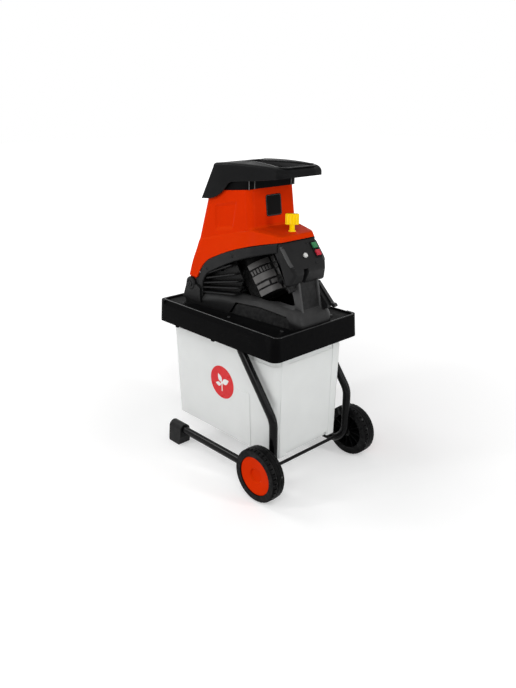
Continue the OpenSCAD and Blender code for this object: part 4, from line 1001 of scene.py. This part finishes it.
def make_motor():
    barrel = spun([(15.1, -158), (15.1, -165), (44, -165), (50, -163.5), (54, -160), (55.5, -156), (55.5, -35),
                   (65, -35), (65, -29.1), (53, -29.1), (53, -150)], 96, DISC)
    sideways = DISC @ Matrix.Translation((0, 0, -140)) @ rotation(90, "Y")
    stub = spun([(0.1, 82), (6, 82), (7, 86), (10.5, 86), (12, 84.5), (12, 50)], 40, sideways)
    piece("motor_barrel", *joined(barrel, stub), "motor_black", replaces=("motor_housing",), bevel=0.7)
    # rows of pads in two columns: both ends along the axis, outer radius, parts of each column
    columns = [(-74, -6), (6, 74)]
    whole, pair = [(0.0, 1.0)], [(0.0, 0.58), (0.68, 1.0)]
    slots = [(k / 7, (k + 0.62) / 7) for k in range(7)]
    bands = [(-75, -59, 61, whole), (-94, -80, 58.8, slots), (-120, -98, 61.4, whole), (-138, -126, 60, pair),
             (-161, -143.5, 61, whole)]
    pads = []
    for w0, w1, r, parts in bands:
        pads += [wrapped(w0, w1, PAD_ROOT, r, a + (b - a) * u, a + (b - a) * v)
                 for a, b in columns for u, v in parts]
    piece("motor_pads", *joined(*pads), "motor_grey", bevel=1.0)
    ribs = [wrapped(-159, -61, PAD_ROOT, 58.6, a - 1.1, a + 1.1, 2) for a in range(84, 280, 5)]
    piece("motor_ribs", *joined(*ribs), "motor_black", bevel=0.4)


# lock knob with a fluted grip

KNOB_THICK = 9.0  # half of the grip's thickness
KNOB_CORNER = 2.4  # what its round corners take off its reach


def make_knob():
    lo, hi = (Vector(c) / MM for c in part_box("lock_knob"))
    foot, top = lo.z, hi.z
    axis = Matrix.Translation((KNOB_X, 0, 0))
    place = axis @ rotation(45, "Z")
    half = (hi.x - lo.x) / 2 / math.cos(math.radians(45)) - KNOB_THICK + KNOB_CORNER
    corners = mirrored_rows([(-half, -KNOB_THICK), (half, -KNOB_THICK)])
    loop = even_steps(soft(corners, (6, 6, 6, 6), 8), 144, closed=True)
    flutes = [0.9 - 0.9 * math.cos(2 * math.pi * k / 12) for k in range(len(loop))]
    rows = []
    for drop, back, deep in ((30.2, 4.0, 0.0), (30.2, 1.6, 0.4), (28.6, 0.2, 1.0), (3.4, 0.2, 1.0),
                             (1.0, 1.2, 0.8), (0.0, 3.4, 0.3), (0.0, 6.5, 0.0)):
        ring = inset(loop, [back + deep * f for f in flutes])
        rows.append([tuple(place @ Vector((*p, top - drop))) for p in ring])
    profile = [(4.6, 0), (10.5, 0), (10.5, 1.8), (9.8, 2.5), (8.2, 3.4), (7.5, 5), (7.5, 24)]
    stem = spun([(r, foot + h) for r, h in profile], 40, axis)
    piece("knob_grip", *joined(solid_skin(rows), stem), "yellow", "knob", replaces=("lock_knob",))


# tray: round bead on the rim

TRAY_RIM_Z = 493.1


def make_tray_rim():
    loop = soft(mirrored_rows([(-284, -163.4), (238.6, -163.4)]), (14, 14, 14, 14), 8)
    path = [Vector((p.x, p.y, TRAY_RIM_Z)) for p in even_steps(loop, 220, closed=True)]
    piece("tray_bead", *bead(path, 2.4), "gloss_black")


# marks: leaf on the sticker, bare label plate, signs on the buttons

BOX_TOP, BOX_H, BOX_HALF, BOX_DRAFT = 424.0, 327.0, 142.0, 9.0
STICKER = Vector((-28.0, 274.0))
PLATE_TILT = 84.27
BUTTON_SIDE = 17.0


def leaf(length, width, steps=14):
    """Leaf outline from its stem end at the origin along +X."""
    along = [k / steps for k in range(steps + 1)]
    side = [(length * t, width / 2 * math.sin(math.pi * t ** 0.8)) for t in along]
    return side + [(x, -y) for x, y in reversed(side[1:-1])]


def turned(points, angle, move):
    c, d = polar(1.0, math.radians(angle))
    return [(move[0] + x * c - y * d, move[1] + x * d + y * c) for x, y in points]


SUNK, RAISED = -0.05, 0.12


def sheet_mark(outline, place, height=RAISED):
    """Thin raised mark with an outline in the plane of place."""
    return solid_skin([[tuple(place(x, y, h)) for x, y in outline] for h in (SUNK, height)])


def make_marks():
    def on_sticker(x, y, h):
        z = STICKER.y + y
        return STICKER.x + x, -(BOX_HALF - BOX_DRAFT * (BOX_TOP - z) / BOX_H) - 0.43 - h, z

    leaves = [(34, 19, 28, (2, -2)), (30, 17, 118, (-3, 0)), (24, 14, 178, (-6, -10))]
    marks = [sheet_mark(turned(leaf(n, w), a, q), on_sticker) for n, w, a, q in leaves]
    stem = [(-3.0, -30), (1.2, -30), (1.6, -8), (3.4, 1), (1.0, 3), (-2.4, 3), (-7.5, -8), (-7.5, -11),
            (-2.6, -5)]
    marks.append(sheet_mark(stem, on_sticker))
    piece("sticker_leaf", *joined(*marks), "mark_white", "box")
    # bare label plate with a border
    face = Matrix.Translation((54.16, 0, HEAD_Z + 324.5)) @ rotation(PLATE_TILT, "Y")

    def plate_rows(steps):
        rows = []
        for half, h, r in steps:
            loop = soft(mirrored_rows([(-half, -half), (half, -half)]), (r, r, r, r), 6)
            rows.append([tuple(face @ Vector((x, y, h))) for x, y in loop])
        return rows

    plate = solid_skin(plate_rows(((30.8, -0.78, 8), (30.8, 0.35, 8), (30.2, 0.62, 7.4))))
    piece("label_face", *plate, "label_black", "hopper", replaces=("label_plate",))
    border = plate_rows(((28.6, 0.55, 6), (28.6, 0.72, 6), (27.8, 0.72, 5.4), (27.8, 0.55, 5.4)))
    piece("plate_border", *skin(border), "plate_grey", "hopper")
    # signs on the push buttons
    for node, sign in (("start_button", "bar"), ("stop_button", "ring")):
        lo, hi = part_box(node)
        middle = (Vector(lo) + Vector(hi)) / 2 / MM
        thick = ((hi[0] - lo[0]) / MM - BUTTON_SIDE * PANEL_DOWN.x) / PANEL_OUT.x

        def on_button(x, y, h):
            q = Vector((middle.x, middle.z)) + PANEL_DOWN * x + PANEL_OUT * (thick / 2 + h)
            return q.x, middle.y + y, q.y

        if sign == "bar":
            mark = sheet_mark([(-4.2, -0.8), (4.2, -0.8), (4.2, 0.8), (-4.2, 0.8)], on_button)
        else:
            mark = skin([[on_button(*polar(r, t), h) for t in full_turn(28)]
                         for r, h in ((4.2, SUNK), (4.2, RAISED), (2.9, RAISED), (2.9, SUNK))])
        piece(node + "_sign", *mark, "mark_white", node)


for make in (make_hopper, make_hood, make_plinth, make_arches, make_vents, make_pan, make_lugs, make_pillar,
             make_control, make_motor, make_knob, make_tray_rim, make_marks):
    make()


# stage, light and camera

WHITE = (1.0, 1.0, 1.0, 1.0)
FLOOR_HALF, FLOOR_Z = 14.0, -0.0005
SENSOR, LENS = 36.0, 35.303
CAMERA_PLACE = (1.4499, -1.37112, 1.11991)
CAMERA_AZIMUTH, CAMERA_PITCH = 46.836, 20.522
# softboxes: name, place, aim, size and power
SOFTBOXES = [("front", (1.7, -1.8, 2.3), (0.0, 0.0, 0.5), (1.5, 1.0), 26.0),
             ("left", (-0.9, -2.4, 1.3), (0.0, 0.0, 0.5), (0.3, 1.8), 20.0),
             ("right", (2.5, 0.7, 1.3), (0.0, 0.0, 0.5), (0.3, 1.8), 20.0),
             ("rim", (-1.9, -0.8, 2.2), (0.0, 0.0, 0.6), (0.8, 0.8), 14.0)]


def seen(nt):
    """1 for what the camera sees straight, in a reflection or through a clear piece."""
    path = new_node(nt, "LightPath")
    straight = combined(nt, "MAXIMUM", path.outputs["Is Camera Ray"], path.outputs["Is Glossy Ray"])
    return combined(nt, "MAXIMUM", straight, path.outputs["Is Transmission Ray"])


def make_stage():
    bm = bmesh.new()
    bmesh.ops.create_grid(bm, x_segments=8, y_segments=8, size=FLOOR_HALF)
    mesh = bpy.data.meshes.new("floor")
    bm.to_mesh(mesh)
    bm.free()
    floor = placed("floor", mesh)
    floor.location.z = FLOOR_Z
    mat, nt, bsdf = new_material("floor_pale")
    coords = new_node(nt, "TexCoord").outputs["Object"]
    tone = ramp(nt, noise(nt, coords, 2.0), [(0.3, 0.8), (0.7, 0.82)])
    far = new_node(nt, "VectorMath", {0: coords})
    far.operation = "LENGTH"
    glow = spread(nt, far.outputs["Value"], 0.3, 1.0, 0.5, 3.0)
    feed(nt, bsdf, {"Base Color": tone, "Roughness": 0.9, "Specular IOR Level": 0.0, "Emission Color": WHITE,
                    "Emission Strength": times(nt, glow, seen(nt))})
    mesh.materials.append(mat)


def make_world():
    """Soft light that is stronger near the horizon; a plain white to the camera and in reflections."""
    world = bpy.data.worlds.new("studio")
    SCENE.world = world
    world.use_nodes = True
    nt = world.node_tree
    nt.nodes.clear()
    height = new_node(nt, "SeparateXYZ", {0: new_node(nt, "TexCoord").outputs["Generated"]}).outputs["Z"]
    sky = ramp(nt, height, [(0.0, 0.62), (0.35, 0.5), (1.0, 0.26)])
    soft_light = new_node(nt, "Background", {"Color": sky})
    white = new_node(nt, "Background", {"Color": WHITE})
    mix = new_node(nt, "MixShader", {"Fac": seen(nt), 1: soft_light.outputs[0], 2: white.outputs[0]})
    new_node(nt, "OutputWorld", {"Surface": mix.outputs[0]})


def softbox(name, place, aim, size, power):
    lamp = bpy.data.lights.new(name, "AREA")
    lamp.shape = "RECTANGLE"
    lamp.size, lamp.size_y = size
    lamp.energy = power
    obj = placed(name, lamp)
    obj.location = place
    obj.rotation_mode = "QUATERNION"
    obj.rotation_quaternion = (Vector(aim) - Vector(place)).to_track_quat("-Z", "Y")


def make_camera():
    data = bpy.data.cameras.new("photo_view")
    data.sensor_width = SENSOR
    data.lens = LENS
    data.clip_start, data.clip_end = 0.05, 50.0
    cam = placed("photo_view", data)
    a, e = math.radians(CAMERA_AZIMUTH), math.radians(CAMERA_PITCH)
    back = Vector((math.sin(a) * math.cos(e), -math.cos(a) * math.cos(e), math.sin(e)))
    right = Vector((math.cos(a), math.sin(a), 0.0))
    up = back.cross(right)
    rows = Matrix((right, up, back)).transposed()
    cam.matrix_world = Matrix.Translation(CAMERA_PLACE) @ rows.to_4x4()
    SCENE.camera = cam


make_stage()
make_world()
for box_light in SOFTBOXES:
    softbox(*box_light)
make_camera()
SCENE.view_settings.view_transform = "Standard"
